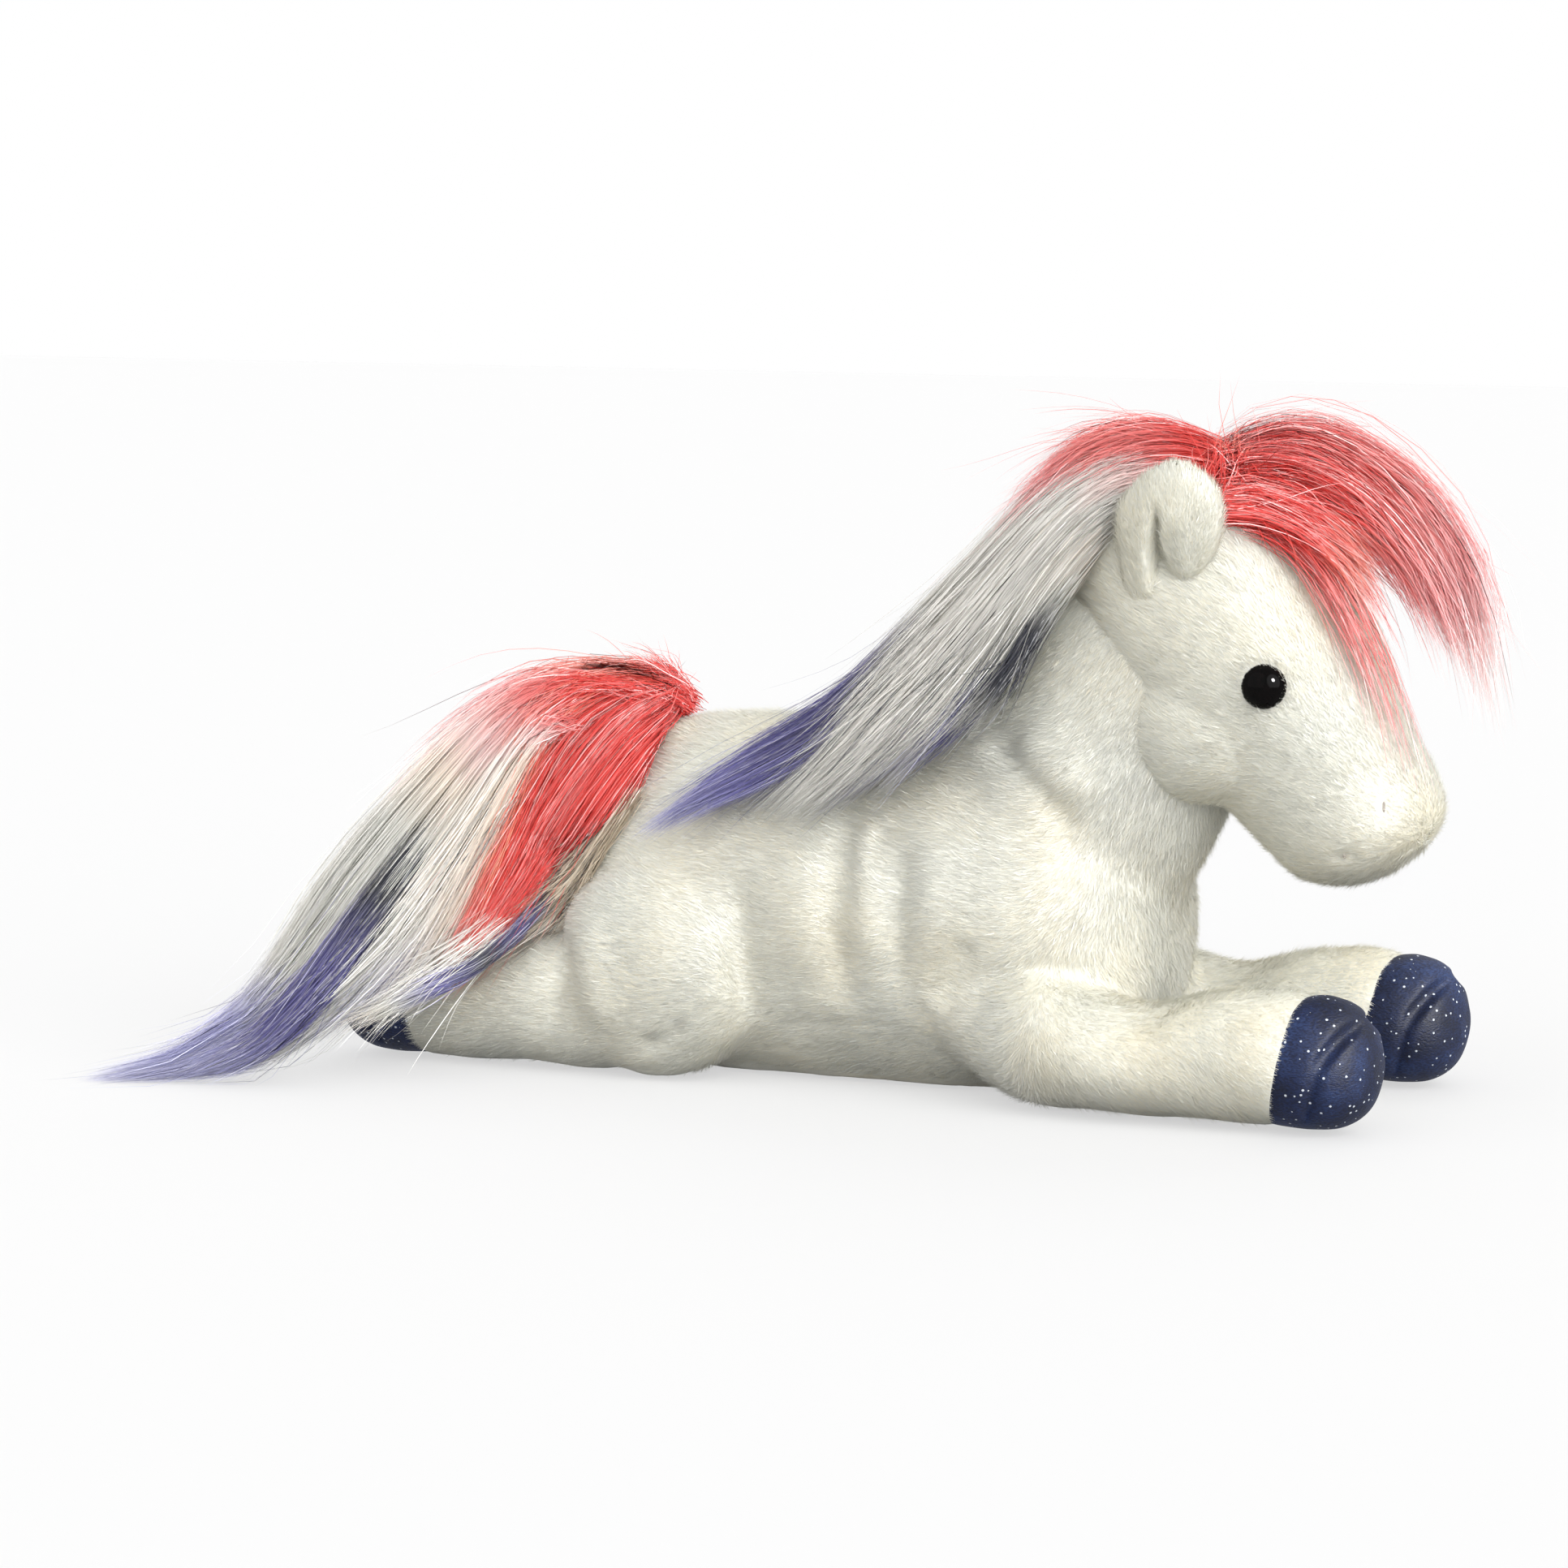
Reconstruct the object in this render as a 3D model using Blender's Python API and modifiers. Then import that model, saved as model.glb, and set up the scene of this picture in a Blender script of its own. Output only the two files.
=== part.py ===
"""Plush horse lying on its belly, made as separate sewn and stuffed pieces.

Metres, +Z up. +X is where the nose points, +Y is the horse's left, Z = 0 is what it lies on.
The origin is the middle of the belly panel's flat underside.
"""
import math

import bmesh
import bpy
from mathutils import Matrix, Vector

# Fits
seam_gap = 0.0003
swing_gap = 0.0010
cut_overrun = 0.006

# Body: a stuffed form from the rump to the chest
body_rear = 0.087
body_front = 0.089
body_height = 0.100
body_width = 0.094

# Each row: place from rump to chest, underside, top, width
BODY_SHARES = (
    (0.00, 0.34, 0.58, 0.22),
    (0.03, 0.12, 0.80, 0.55),
    (0.12, -0.03, 0.96, 0.86),
    (0.27, -0.07, 1.01, 0.98),
    (0.45, -0.07, 1.00, 1.00),
    (0.64, -0.07, 1.00, 1.02),
    (0.80, -0.03, 0.98, 0.98),
    (0.92, 0.08, 0.88, 0.80),
    (0.985, 0.20, 0.72, 0.50),
    (1.00, 0.34, 0.56, 0.22),
)

# Neck: from inside the body up to the pivot of the head
neck_foot_x = 0.040
neck_foot_z = 0.060
neck_depth = 0.080
neck_width = 0.070

# Each row: place from foot to pivot, behind the axis, in front of it, width
NECK_SHARES = (
    (-0.15, 0.52, 0.40, 0.80),
    (0.00, 0.58, 0.50, 0.98),
    (0.33, 0.58, 0.48, 1.02),
    (0.66, 0.53, 0.42, 0.98),
    (0.95, 0.47, 0.37, 0.88),
    (1.20, 0.34, 0.28, 0.68),
    (1.28, 0.16, 0.12, 0.30),
)

# Head: a stuffed form along an axis that runs down to the muzzle
head_pivot_x = 0.090
head_pivot_z = 0.125
head_length = 0.122
head_depth = 0.067
head_width = 0.067
head_lift = 0.011
head_droop_degrees = 50.0
head_back_share = 0.305
neck_ball_radius = 0.032

# Each row: place from the back of the head to the muzzle, depth, width
HEAD_SHARES = (
    (0.00, 0.30, 0.28),
    (0.055, 0.70, 0.64),
    (0.24, 1.02, 0.97),
    (0.47, 1.00, 1.02),
    (0.67, 0.82, 0.82),
    (0.80, 0.67, 0.62),
    (0.89, 0.60, 0.56),
    (0.965, 0.46, 0.43),
    (1.00, 0.22, 0.20),
)
head_turn_degrees = 15.0
head_nod_down_degrees = 12.0
head_nod_up_degrees = 10.0

# Ring of thread that gathers the head onto the neck
thread_drop = 0.027
thread_radius = 0.0010

# Ears
ear_foot_back = 0.002
ear_foot_drop = 0.004
ear_foot_spread = 0.0255
ear_length = 0.043
ear_width = 0.029
ear_thickness = 0.014
ear_lean_forward_share = 0.10
ear_lean_out_share = 0.26
ear_hollow_place_share = 0.54
ear_hollow_length_share = 0.68
ear_hollow_width_share = 0.58
ear_hollow_depth_share = 0.62
ear_lining_thickness = 0.0022
ear_fold_degrees = 15.0

# Each row: place from foot to tip, width, thickness
EAR_SHARES = (
    (0.00, 0.34, 0.60),
    (0.12, 0.66, 0.90),
    (0.38, 1.04, 1.04),
    (0.66, 1.02, 0.98),
    (0.90, 0.70, 0.74),
    (1.00, 0.32, 0.34),
)

# Eyes: a dome on a stem, locked by a washer
eye_along = 0.0290
eye_above = 0.0190
eye_spread_share = 0.445
eye_forward_lean_share = 0.26
eye_upward_lean_share = 0.06
eye_diameter = 0.012
eye_dome_height = 0.0042
eye_stem_diameter = 0.0032
eye_stem_length = 0.010
washer_diameter = 0.013
washer_thickness = 0.0016
washer_depth = 0.0050

# Nostril stitches
nostril_from_tip = 0.0128
nostril_over_middle = 0.0090
nostril_spread_share = 0.236
nostril_length = 0.0045
nostril_thread_diameter = 0.0012

# Forelegs
foreleg_spread = 0.037
foreleg_elbow_x = 0.056
foreleg_elbow_z = 0.0208
foreleg_height = 0.0405
foreleg_width = 0.0385
foreleg_inner_face = 0.020
foreleg_lift_degrees = 14.0

# Each row: place from the elbow to the hoof's seam, height, width
FORELEG_SHARES = (
    (-0.27, 0.22, 0.22),
    (-0.22, 0.66, 0.66),
    (-0.05, 1.03, 1.03),
    (0.30, 1.00, 1.00),
    (0.65, 0.94, 0.95),
    (1.00, 0.90, 0.92),
    (1.12, 0.90, 0.92),
)

# Hind legs: a round haunch that the shank runs back from
hindleg_spread = 0.038
haunch_back = 0.048
haunch_radius = 0.0305
haunch_thickness = 0.036
shank_height = 0.034
shank_width = 0.032
shank_spread = 0.036
hindleg_inner_face = 0.021
hindleg_lift_degrees = 12.0

# Each row: place from the haunch to the hoof's seam, height, width
SHANK_SHARES = (
    (0.10, 0.80, 0.70),
    (0.22, 1.16, 0.98),
    (0.50, 1.08, 1.02),
    (0.80, 1.00, 1.00),
    (1.00, 0.98, 1.00),
    (1.12, 0.98, 1.00),
)

# Hooves: caps with a seam round the sole, a wall and a bag of pellets inside
fore_hoof_seam_x = 0.1325
hind_hoof_seam_back = 0.121
hoof_length = 0.0285
hoof_height = 0.0375
hoof_width = 0.0370
hoof_seam_tilt_degrees = 8.0
hoof_wall = 0.0030
sole_seam_offset = 0.0065
sole_lean_degrees = 28.0
sole_groove_depth = 0.0014
sole_groove_width = 0.0012
hoof_bag_clearance = 0.0010

# Each row: place from the seam to the toe, height, width
HOOF_SHARES = (
    (-0.30, 0.96, 0.96),
    (0.00, 0.98, 0.98),
    (0.34, 1.03, 1.03),
    (0.70, 0.90, 0.90),
    (0.93, 0.58, 0.58),
    (1.00, 0.26, 0.26),
)

# Belly panel and the bean bag over it
panel_rear = 0.062
panel_front = 0.033
panel_width = 0.048
panel_thickness = 0.0020
bean_bag_length = 0.062
bean_bag_width = 0.036
bean_bag_height = 0.024
bean_bag_round_share = 0.25

# Tail: a lock of long pile from the dock down to the floor
dock_back = 0.0600
dock_z = 0.0990
tail_reach = 0.1260
tail_swing = 0.1130
tail_tip_height = 0.0030
tail_depth = 0.056
tail_thickness = 0.020

# Each row: reach back, swing to the right, height over the tip, depth, thickness
TAIL_SHARES = (
    (0.00, 0.00, 0.99, 0.18, 0.34),
    (0.02, 0.00, 1.01, 0.28, 0.50),
    (0.09, 0.01, 1.03, 0.38, 0.74),
    (0.21, 0.06, 0.97, 0.62, 0.95),
    (0.28, 0.19, 0.81, 0.95, 1.05),
    (0.34, 0.34, 0.63, 1.02, 1.05),
    (0.40, 0.48, 0.48, 0.98, 1.00),
    (0.47, 0.60, 0.35, 0.88, 0.95),
    (0.57, 0.71, 0.21, 0.62, 0.85),
    (0.71, 0.82, 0.10, 0.30, 0.70),
    (0.87, 0.91, 0.04, 0.16, 0.50),
    (1.00, 0.99, 0.02, 0.07, 0.28),
)

# Mane: a lock of long pile combed from the crest over the right side
mane_top_x = 0.0620
mane_top_z = 0.1520
mane_reach = 0.1000
mane_fall = 0.0850
mane_drape = 0.0540
mane_breadth = 0.055
mane_thickness = 0.018

# Each row: reach back, drape to the right, fall, breadth, thickness
MANE_SHARES = (
    (0.00, 0.08, 0.00, 0.30, 0.60),
    (0.06, 0.16, 0.07, 0.62, 0.95),
    (0.15, 0.27, 0.20, 0.90, 1.05),
    (0.35, 0.38, 0.49, 1.04, 1.05),
    (0.57, 0.64, 0.75, 0.96, 1.00),
    (0.82, 0.90, 0.90, 0.58, 0.80),
    (1.00, 0.99, 1.00, 0.18, 0.45),
)

# Crown tuft and forelock: long pile sewn across the top of the head
parting_x = 0.1020
parting_z = 0.1690
tuft_reach = 0.0520
tuft_fall = 0.0180
tuft_drape = 0.0120
tuft_breadth = 0.030
tuft_thickness = 0.015
forelock_reach = 0.0740
forelock_fall = 0.0740
forelock_drape = 0.0100
forelock_breadth = 0.036
forelock_thickness = 0.020

# Each row: reach back, drape to the right, fall, breadth, thickness
TUFT_SHARES = (
    (0.00, 0.00, 0.05, 0.30, 0.50),
    (0.10, 0.05, -0.12, 0.55, 0.90),
    (0.34, 0.30, -0.18, 0.90, 1.05),
    (0.64, 0.60, 0.10, 1.00, 1.00),
    (0.88, 0.85, 0.60, 0.72, 0.80),
    (1.00, 1.00, 1.00, 0.30, 0.45),
)

# Each row: reach forward, drape to the right, fall, breadth, thickness
FORELOCK_SHARES = (
    (0.02, 0.00, 0.00, 0.30, 0.50),
    (0.10, 0.20, -0.06, 0.60, 0.90),
    (0.28, 0.45, -0.04, 0.92, 1.10),
    (0.48, 0.60, 0.05, 1.02, 1.10),
    (0.68, 0.60, 0.26, 0.92, 1.00),
    (0.86, 0.60, 0.54, 0.62, 0.85),
    (0.96, 0.60, 0.82, 0.36, 0.60),
    (1.00, 0.60, 1.00, 0.16, 0.35),
)

# Mesh detail
BODY_RING_POINTS = 14
HEAD_RING_POINTS = 12
RING_POINTS = 10
ROUND_POINTS = 20
SMALL_ROUND_POINTS = 12
THREAD_POINTS = 8

SIDES = (("right", -1.0), ("left", 1.0))
UP = Vector((0.0, 0.0, 1.0))
LEFT = Vector((0.0, 1.0, 0.0))
FORWARD = Vector((1.0, 0.0, 0.0))

HEAD_PIVOT = Vector((head_pivot_x, 0.0, head_pivot_z))
NECK_FOOT = Vector((neck_foot_x, 0.0, neck_foot_z))
NECK_AXIS = (HEAD_PIVOT - NECK_FOOT).normalized()
HEAD_AXIS = Matrix.Rotation(math.radians(head_droop_degrees), 3, LEFT) @ FORWARD
HEAD_RISE = HEAD_AXIS.cross(LEFT)

PLUSH = ("ivory_plush", (0.86, 0.85, 0.80, 1.0), 0.95)
LINING = ("ivory_velour", (0.80, 0.78, 0.72, 1.0), 0.90)
VELOUR = ("navy_velour", (0.03, 0.07, 0.22, 1.0), 0.60)
RED_PILE = ("coral_pile", (0.78, 0.08, 0.09, 1.0), 0.80)
MIXED_PILE = ("white_pile", (0.70, 0.68, 0.64, 1.0), 0.80)
BLACK_GLOSS = ("black_eye", (0.01, 0.01, 0.01, 1.0), 0.08)
WASHER_WHITE = ("washer_plastic", (0.75, 0.75, 0.72, 1.0), 0.50)
CANVAS = ("pellet_canvas", (0.62, 0.60, 0.54, 1.0), 0.90)
THREAD = ("sewing_thread", (0.60, 0.56, 0.52, 1.0), 0.80)

MATERIALS = {}


def finish(look):
    """The Principled material for a look, made once."""
    name, colour, roughness = look
    if name not in MATERIALS:
        material = bpy.data.materials.new(name)
        material.use_nodes = True
        shader = material.node_tree.nodes["Principled BSDF"]
        shader.inputs["Base Color"].default_value = colour
        shader.inputs["Roughness"].default_value = roughness
        shader.inputs["Metallic"].default_value = 0.0
        MATERIALS[name] = material
    return MATERIALS[name]


def new_collection(name):
    collection = bpy.data.collections.new(name)
    bpy.context.scene.collection.children.link(collection)
    return collection


def empty_scene():
    for thing in list(bpy.data.objects):
        bpy.data.objects.remove(thing, do_unlink=True)


empty_scene()
PARTS = new_collection("plush_horse")
CUTTERS = new_collection("cutters")


def mesh_object(name, mesh, look=None):
    """A part when it has a look, and otherwise a cutter."""
    piece = bpy.data.objects.new(name, mesh)
    if look:
        PARTS.objects.link(piece)
        mesh.materials.clear()
        mesh.materials.append(finish(look))
    else:
        CUTTERS.objects.link(piece)
        piece.hide_render = True
        piece.display_type = "WIRE"
    return piece


def object_from_bmesh(name, shape, look=None):
    bmesh.ops.recalc_face_normals(shape, faces=shape.faces)
    mesh = bpy.data.meshes.new(name)
    shape.to_mesh(mesh)
    shape.free()
    return mesh_object(name, mesh, look)


def remove(piece):
    mesh = piece.data
    bpy.data.objects.remove(piece, do_unlink=True)
    bpy.data.meshes.remove(mesh)


def apply_modifiers(piece):
    """Keep the evaluated mesh as the object's own."""
    graph = bpy.context.evaluated_depsgraph_get()
    mesh = bpy.data.meshes.new_from_object(piece.evaluated_get(graph))
    old = piece.data
    piece.modifiers.clear()
    piece.data = mesh
    bpy.data.meshes.remove(old)


def subdivide(piece, levels):
    smooth = piece.modifiers.new("Subdivision", "SUBSURF")
    smooth.levels = levels
    smooth.render_levels = levels
    apply_modifiers(piece)
    piece.data.shade_smooth()


def combine(piece, tool, operation, keep_tool=False):
    """Boolean the tool into the piece: DIFFERENCE, UNION or INTERSECT."""
    step = piece.modifiers.new("Boolean", "BOOLEAN")
    step.operation = operation
    step.solver = "EXACT"
    step.object = tool
    apply_modifiers(piece)
    if not keep_tool:
        remove(tool)


def drop_crumbs(piece):
    """Keep the largest body of a piece whose cuts left crumbs."""
    shape = bmesh.new()
    shape.from_mesh(piece.data)
    unseen = set(shape.verts)
    bodies = []
    while unseen:
        body = set()
        edge = [unseen.pop()]
        while edge:
            vertex = edge.pop()
            body.add(vertex)
            for link in vertex.link_edges:
                other = link.other_vert(vertex)
                if other in unseen:
                    unseen.remove(other)
                    edge.append(other)
        bodies.append(body)
    bodies.sort(key=len)
    crumbs = [vertex for body in bodies[:-1] for vertex in body]
    bmesh.ops.delete(shape, geom=crumbs, context="VERTS")
    shape.to_mesh(piece.data)
    shape.free()


def grown(piece, gap, name):
    """A cutter: the piece with each point moved out by the gap."""
    shape = bmesh.new()
    shape.from_mesh(piece.data)
    shape.normal_update()
    moves = [vertex.normal * gap for vertex in shape.verts]
    for vertex, move in zip(shape.verts, moves):
        vertex.co += move
    return object_from_bmesh(name, shape)


def turn_about(point, axis, degrees):
    turn = Matrix.Rotation(math.radians(degrees), 4, axis)
    return Matrix.Translation(point) @ turn @ Matrix.Translation(-point)


def sweep_of(mover, poses, gap, name):
    """Convex room that the mover takes through its poses, with the gap round it."""
    shape = bmesh.new()
    for pose in poses:
        for vertex in mover.data.vertices:
            shape.verts.new(pose @ vertex.co)
    bmesh.ops.remove_doubles(shape, verts=shape.verts, dist=2.0 * gap)
    hull = bmesh.ops.convex_hull(shape, input=shape.verts)
    spare = {item for item in hull["geom_interior"] + hull["geom_unused"]}
    bmesh.ops.delete(
        shape, geom=[item for item in spare if isinstance(item, bmesh.types.BMVert)], context="VERTS"
    )
    room = object_from_bmesh(name, shape)
    wider = grown(room, gap, name)
    remove(room)
    return wider


def clear_for(target, mover, poses, gap=swing_gap):
    """Cut from the target the room that the mover sweeps."""
    combine(target, sweep_of(mover, poses, gap, "room"), "DIFFERENCE")


def sit_on(piece, support):
    """Cut from the piece what a larger one fills, less the seam gap."""
    combine(piece, grown(support, seam_gap, "support"), "DIFFERENCE")


def ring_swell(points):
    """A ring's cage is this much larger than the smooth form it makes."""
    return 3.0 / (2.0 + math.cos(2.0 * math.pi / points))


def soft_form(name, sections, look=None, levels=1, points=RING_POINTS):
    """Closed form through sections: centre, half width, height above, depth below."""
    shape = bmesh.new()
    swell = ring_swell(points) if levels else 1.0
    rings = []
    for centre, side, above, below in sections:
        ring = []
        for index in range(points):
            angle = 2.0 * math.pi * (index + 0.5) / points
            rise = above if math.sin(angle) > 0.0 else below
            point = centre + (side * math.cos(angle) + rise * abs(math.sin(angle))) * swell
            ring.append(shape.verts.new(point))
        rings.append(ring)
    for first, second in zip(rings, rings[1:]):
        for index in range(points):
            after = (index + 1) % points
            shape.faces.new((first[index], first[after], second[after], second[index]))
    shape.faces.new(rings[0])
    shape.faces.new(rings[-1])
    piece = object_from_bmesh(name, shape, look)
    if levels:
        subdivide(piece, levels)
    return piece


def box(name, low, high):
    shape = bmesh.new()
    bmesh.ops.create_cube(shape, size=1.0)
    size = high - low
    for vertex in shape.verts:
        vertex.co = Vector([a * b for a, b in zip(vertex.co, size)]) + (low + high) / 2.0
    return object_from_bmesh(name, shape)


def frame_for(axis, reference):
    """Rotation that turns +Z to the axis and keeps +X near the reference."""
    z_axis = axis.normalized()
    x_axis = (reference - z_axis * reference.dot(z_axis)).normalized()
    return Matrix((x_axis, z_axis.cross(x_axis), z_axis)).transposed().to_4x4()


def disc(name, centre, axis, radius, thickness, look=None, points=ROUND_POINTS):
    """Round plate whose middle is at the centre."""
    shape = bmesh.new()
    bmesh.ops.create_cone(
        shape, cap_ends=True, segments=points, radius1=radius, radius2=radius, depth=thickness
    )
    shape.transform(Matrix.Translation(centre) @ frame_for(axis, FORWARD + LEFT))
    return object_from_bmesh(name, shape, look)


def ball(name, centre, radii, look=None, points=ROUND_POINTS):
    shape = bmesh.new()
    bmesh.ops.create_uvsphere(shape, u_segments=points, v_segments=points // 2, radius=1.0)
    shape.transform(Matrix.Translation(centre) @ Matrix.Diagonal(radii).to_4x4())
    piece = object_from_bmesh(name, shape, look)
    piece.data.shade_smooth()
    return piece


def lock_form(name, places, sizes, broad_way, look):
    """Tapered lock of hair along places, broad one way and thin the other."""
    sections = []
    last = len(places) - 1
    for index, (place, (breadth, thickness)) in enumerate(zip(places, sizes)):
        along = places[min(index + 1, last)] - places[max(index - 1, 0)]
        along.normalize()
        broad = (broad_way - along * broad_way.dot(along)).normalized()
        thin = along.cross(broad)
        half = broad * breadth / 2.0
        sections.append((place, thin * thickness / 2.0, half, -half))
    return soft_form(name, sections, look)


def body_section(row):
    along, low, high, width = row
    x = -body_rear + along * (body_rear + body_front)
    middle = (low + high) / 2.0 * body_height
    rise = (high - low) / 2.0 * body_height
    centre = Vector((x, 0.0, middle))
    return centre, LEFT * width * body_width / 2.0, UP * rise, -UP * rise


def make_torso():
    """Body and neck, one stuffed skin."""
    sections = [body_section(row) for row in BODY_SHARES]
    torso = soft_form("torso", sections, PLUSH, points=BODY_RING_POINTS)
    back = NECK_AXIS.cross(LEFT) * -1.0
    back = back if back.x < 0.0 else -back
    length = (HEAD_PIVOT - NECK_FOOT).length
    sections = []
    for along, behind, front, width in NECK_SHARES:
        centre = NECK_FOOT + NECK_AXIS * along * length
        side = LEFT * width * neck_width / 2.0
        sections.append((centre, side, back * behind * neck_depth, -back * front * neck_depth))
    combine(torso, soft_form("neck", sections, points=BODY_RING_POINTS), "UNION")
    return torso


def head_point(along, above, spread=0.0):
    """Point by its place along the head's axis, over it, and to the left."""
    return HEAD_PIVOT + HEAD_AXIS * along + HEAD_RISE * above + LEFT * spread


def head_sections():
    sections = []
    for along, depth, width in HEAD_SHARES:
        centre = head_point((along - head_back_share) * head_length, head_lift)
        rise = HEAD_RISE * depth * head_depth / 2.0
        sections.append((centre, LEFT * width * head_width / 2.0, rise, -rise))
    return sections


def neck_ball(name, gap):
    radius = neck_ball_radius + gap
    return ball(name, HEAD_PIVOT, (radius, radius, radius))


def make_head():
    """Stuffed head with the ball that sits in the neck, clear of the thread ring."""
    head = soft_form("head", head_sections(), PLUSH, points=HEAD_RING_POINTS)
    room = thread_radius + swing_gap
    centre = HEAD_PIVOT - NECK_AXIS * thread_drop
    plate = disc("ring_room", centre, NECK_AXIS, ring_reach() + room, 2.0 * room)
    nods = even_steps(-head_nod_down_degrees, head_nod_up_degrees, 5)
    clear_for(head, plate, [turn_about(HEAD_PIVOT, LEFT, angle) for angle in nods])
    remove(plate)
    combine(head, neck_ball("neck_ball", 0.0), "UNION")
    return head


def ear_frame(side):
    """Foot, direction to the tip and outward direction of an ear."""
    foot = head_point(-ear_foot_back, head_lift - ear_foot_drop, side * ear_foot_spread)
    way = Vector((ear_lean_forward_share, side * ear_lean_out_share, 1.0)).normalized()
    out = LEFT * side
    out = (out - way * out.dot(way)).normalized()
    return foot, way, out


def make_ear(word, side):
    """Outer ear and the lining in its hollow."""
    foot, way, out = ear_frame(side)
    across = way.cross(out)
    sections = []
    for along, width, thickness in EAR_SHARES:
        half = out * thickness * ear_thickness / 2.0
        centre = foot + way * along * ear_length
        sections.append((centre, across * width * ear_width / 2.0, half, -half))
    ear = soft_form("ear_" + word, sections, PLUSH)
    depth = ear_thickness * ear_hollow_depth_share
    middle = foot + way * ear_length * ear_hollow_place_share + out * ear_thickness / 2.0
    turn = frame_for(way, across)
    half_width = ear_width * ear_hollow_width_share / 2.0
    radii = Vector((half_width, depth, ear_length * ear_hollow_length_share / 2.0))

    def hollow_form(name, shrink, look=None):
        piece = ball(name, Vector(), radii - Vector((shrink, shrink, shrink)), look, SMALL_ROUND_POINTS)
        piece.data.transform(Matrix.Translation(middle) @ turn)
        return piece

    lining = hollow_form("ear_lining_" + word, seam_gap, LINING)
    inside = hollow_form("inside", seam_gap + ear_lining_thickness)
    combine(lining, inside, "DIFFERENCE")
    combine(ear, hollow_form("hollow", 0.0), "DIFFERENCE")
    outer = soft_form("ear_form", sections)
    combine(lining, outer, "INTERSECT", keep_tool=True)
    return ear, lining, outer, foot


def make_eye(word, side, head):
    """Eye dome on its stem, and the washer that locks it behind the skin."""
    out = Vector((eye_forward_lean_share, side, eye_upward_lean_share)).normalized()
    seat = head_point(eye_along, eye_above, side * eye_spread_share * head_width)
    radius = eye_diameter / 2.0
    turn = Matrix.Translation(seat) @ frame_for(out, FORWARD)
    radii = (radius, radius, eye_dome_height)
    dome = ball("eye_" + word, Vector(), radii, BLACK_GLOSS, SMALL_ROUND_POINTS)
    dome.data.transform(turn)
    stem_reach = eye_stem_length + eye_dome_height
    stem_middle = seat - out * stem_reach / 2.0

    def stem(name, extra):
        return disc(
            name, stem_middle, out, eye_stem_diameter / 2.0 + extra,
            stem_reach + 2.0 * extra, points=SMALL_ROUND_POINTS,
        )

    combine(dome, stem("stem", 0.0), "UNION")
    washer_middle = seat - out * (eye_dome_height + washer_depth)

    def plate(name, extra, look=None):
        return disc(
            name, washer_middle, out, washer_diameter / 2.0 + extra,
            washer_thickness + 2.0 * extra, look, SMALL_ROUND_POINTS,
        )

    washer = plate("eye_washer_" + word, 0.0, WASHER_WHITE)
    combine(washer, stem("washer_hole", seam_gap), "DIFFERENCE")
    combine(head, grown(dome, seam_gap, "eye_seat"), "DIFFERENCE")
    combine(head, plate("washer_pocket", seam_gap), "DIFFERENCE")


def make_nostril(word, side, head):
    """Short upright stitch, half sunk in the muzzle."""
    along = (1.0 - head_back_share) * head_length - nostril_from_tip
    above = head_lift + nostril_over_middle
    place = head_point(along, above, side * nostril_spread_share * head_width)
    radius = nostril_thread_diameter / 2.0
    radii = (radius, radius, nostril_length / 2.0)
    stitch = ball("nostril_stitch_" + word, place, radii, THREAD, THREAD_POINTS)
    combine(head, grown(stitch, seam_gap, "stitch_groove"), "DIFFERENCE")


def ring_reach():
    """Radius of the thread ring that clears the ball at its level."""
    level = math.sqrt(neck_ball_radius ** 2 - thread_drop ** 2)
    return level + swing_gap + seam_gap + thread_radius


def make_thread_ring(torso):
    """Ring of gathering thread between the neck and the head's ball."""
    ring = ring_tube("neck_gathering_thread", ring_reach(), thread_radius, THREAD)
    groove = ring_tube("thread_groove", ring_reach(), thread_radius + swing_gap)
    combine(torso, groove, "DIFFERENCE")
    return ring


def ring_tube(name, reach, radius, look=None):
    shape = bmesh.new()
    around = ROUND_POINTS
    about = THREAD_POINTS
    rings = []
    for step in range(around):
        angle = 2.0 * math.pi * step / around
        way = Vector((math.cos(angle), math.sin(angle), 0.0))
        ring = []
        for part in range(about):
            turn = 2.0 * math.pi * part / about
            point = way * (reach + radius * math.cos(turn)) + UP * radius * math.sin(turn)
            ring.append(shape.verts.new(point))
        rings.append(ring)
    for step in range(around):
        first, second = rings[step], rings[(step + 1) % around]
        for part in range(about):
            after = (part + 1) % about
            shape.faces.new((first[part], first[after], second[after], second[part]))
    centre = HEAD_PIVOT - NECK_AXIS * thread_drop
    shape.transform(Matrix.Translation(centre) @ frame_for(NECK_AXIS, FORWARD))
    return object_from_bmesh(name, shape, look)


def outer_half(name, side, inner_face):
    """All the room on one side of a leg's inner face."""
    reach = body_width
    near, far = side * inner_face, side * reach
    low = Vector((-2.0 * body_rear, min(near, far), -cut_overrun))
    high = Vector((2.0 * body_front, max(near, far), body_height))
    return box(name, low, high)


def leg_sections(rows, start, end, height, width, base):
    """Sections of a leg lying on the floor, from start to end."""
    sections = []
    for along, tall, wide in rows:
        rise = UP * tall * height / 2.0
        centre = start.lerp(end, along)
        centre.z = base + tall * height / 2.0 if 0.0 < along else start.z
        side = LEFT * wide * width / 2.0
        sections.append((centre, side, rise, -rise))
    return sections


def foreleg_pivot(side):
    return Vector((foreleg_elbow_x, side * foreleg_spread, foreleg_elbow_z))


def hindleg_pivot(side):
    return Vector((-haunch_back, side * hindleg_spread, haunch_radius + seam_gap))


def make_foreleg(word, side):
    start = foreleg_pivot(side)
    end = Vector((fore_hoof_seam_x, side * foreleg_spread, start.z))
    sections = leg_sections(FORELEG_SHARES, start, end, foreleg_height, foreleg_width, seam_gap)
    return soft_form("foreleg_" + word, sections, PLUSH)


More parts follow.
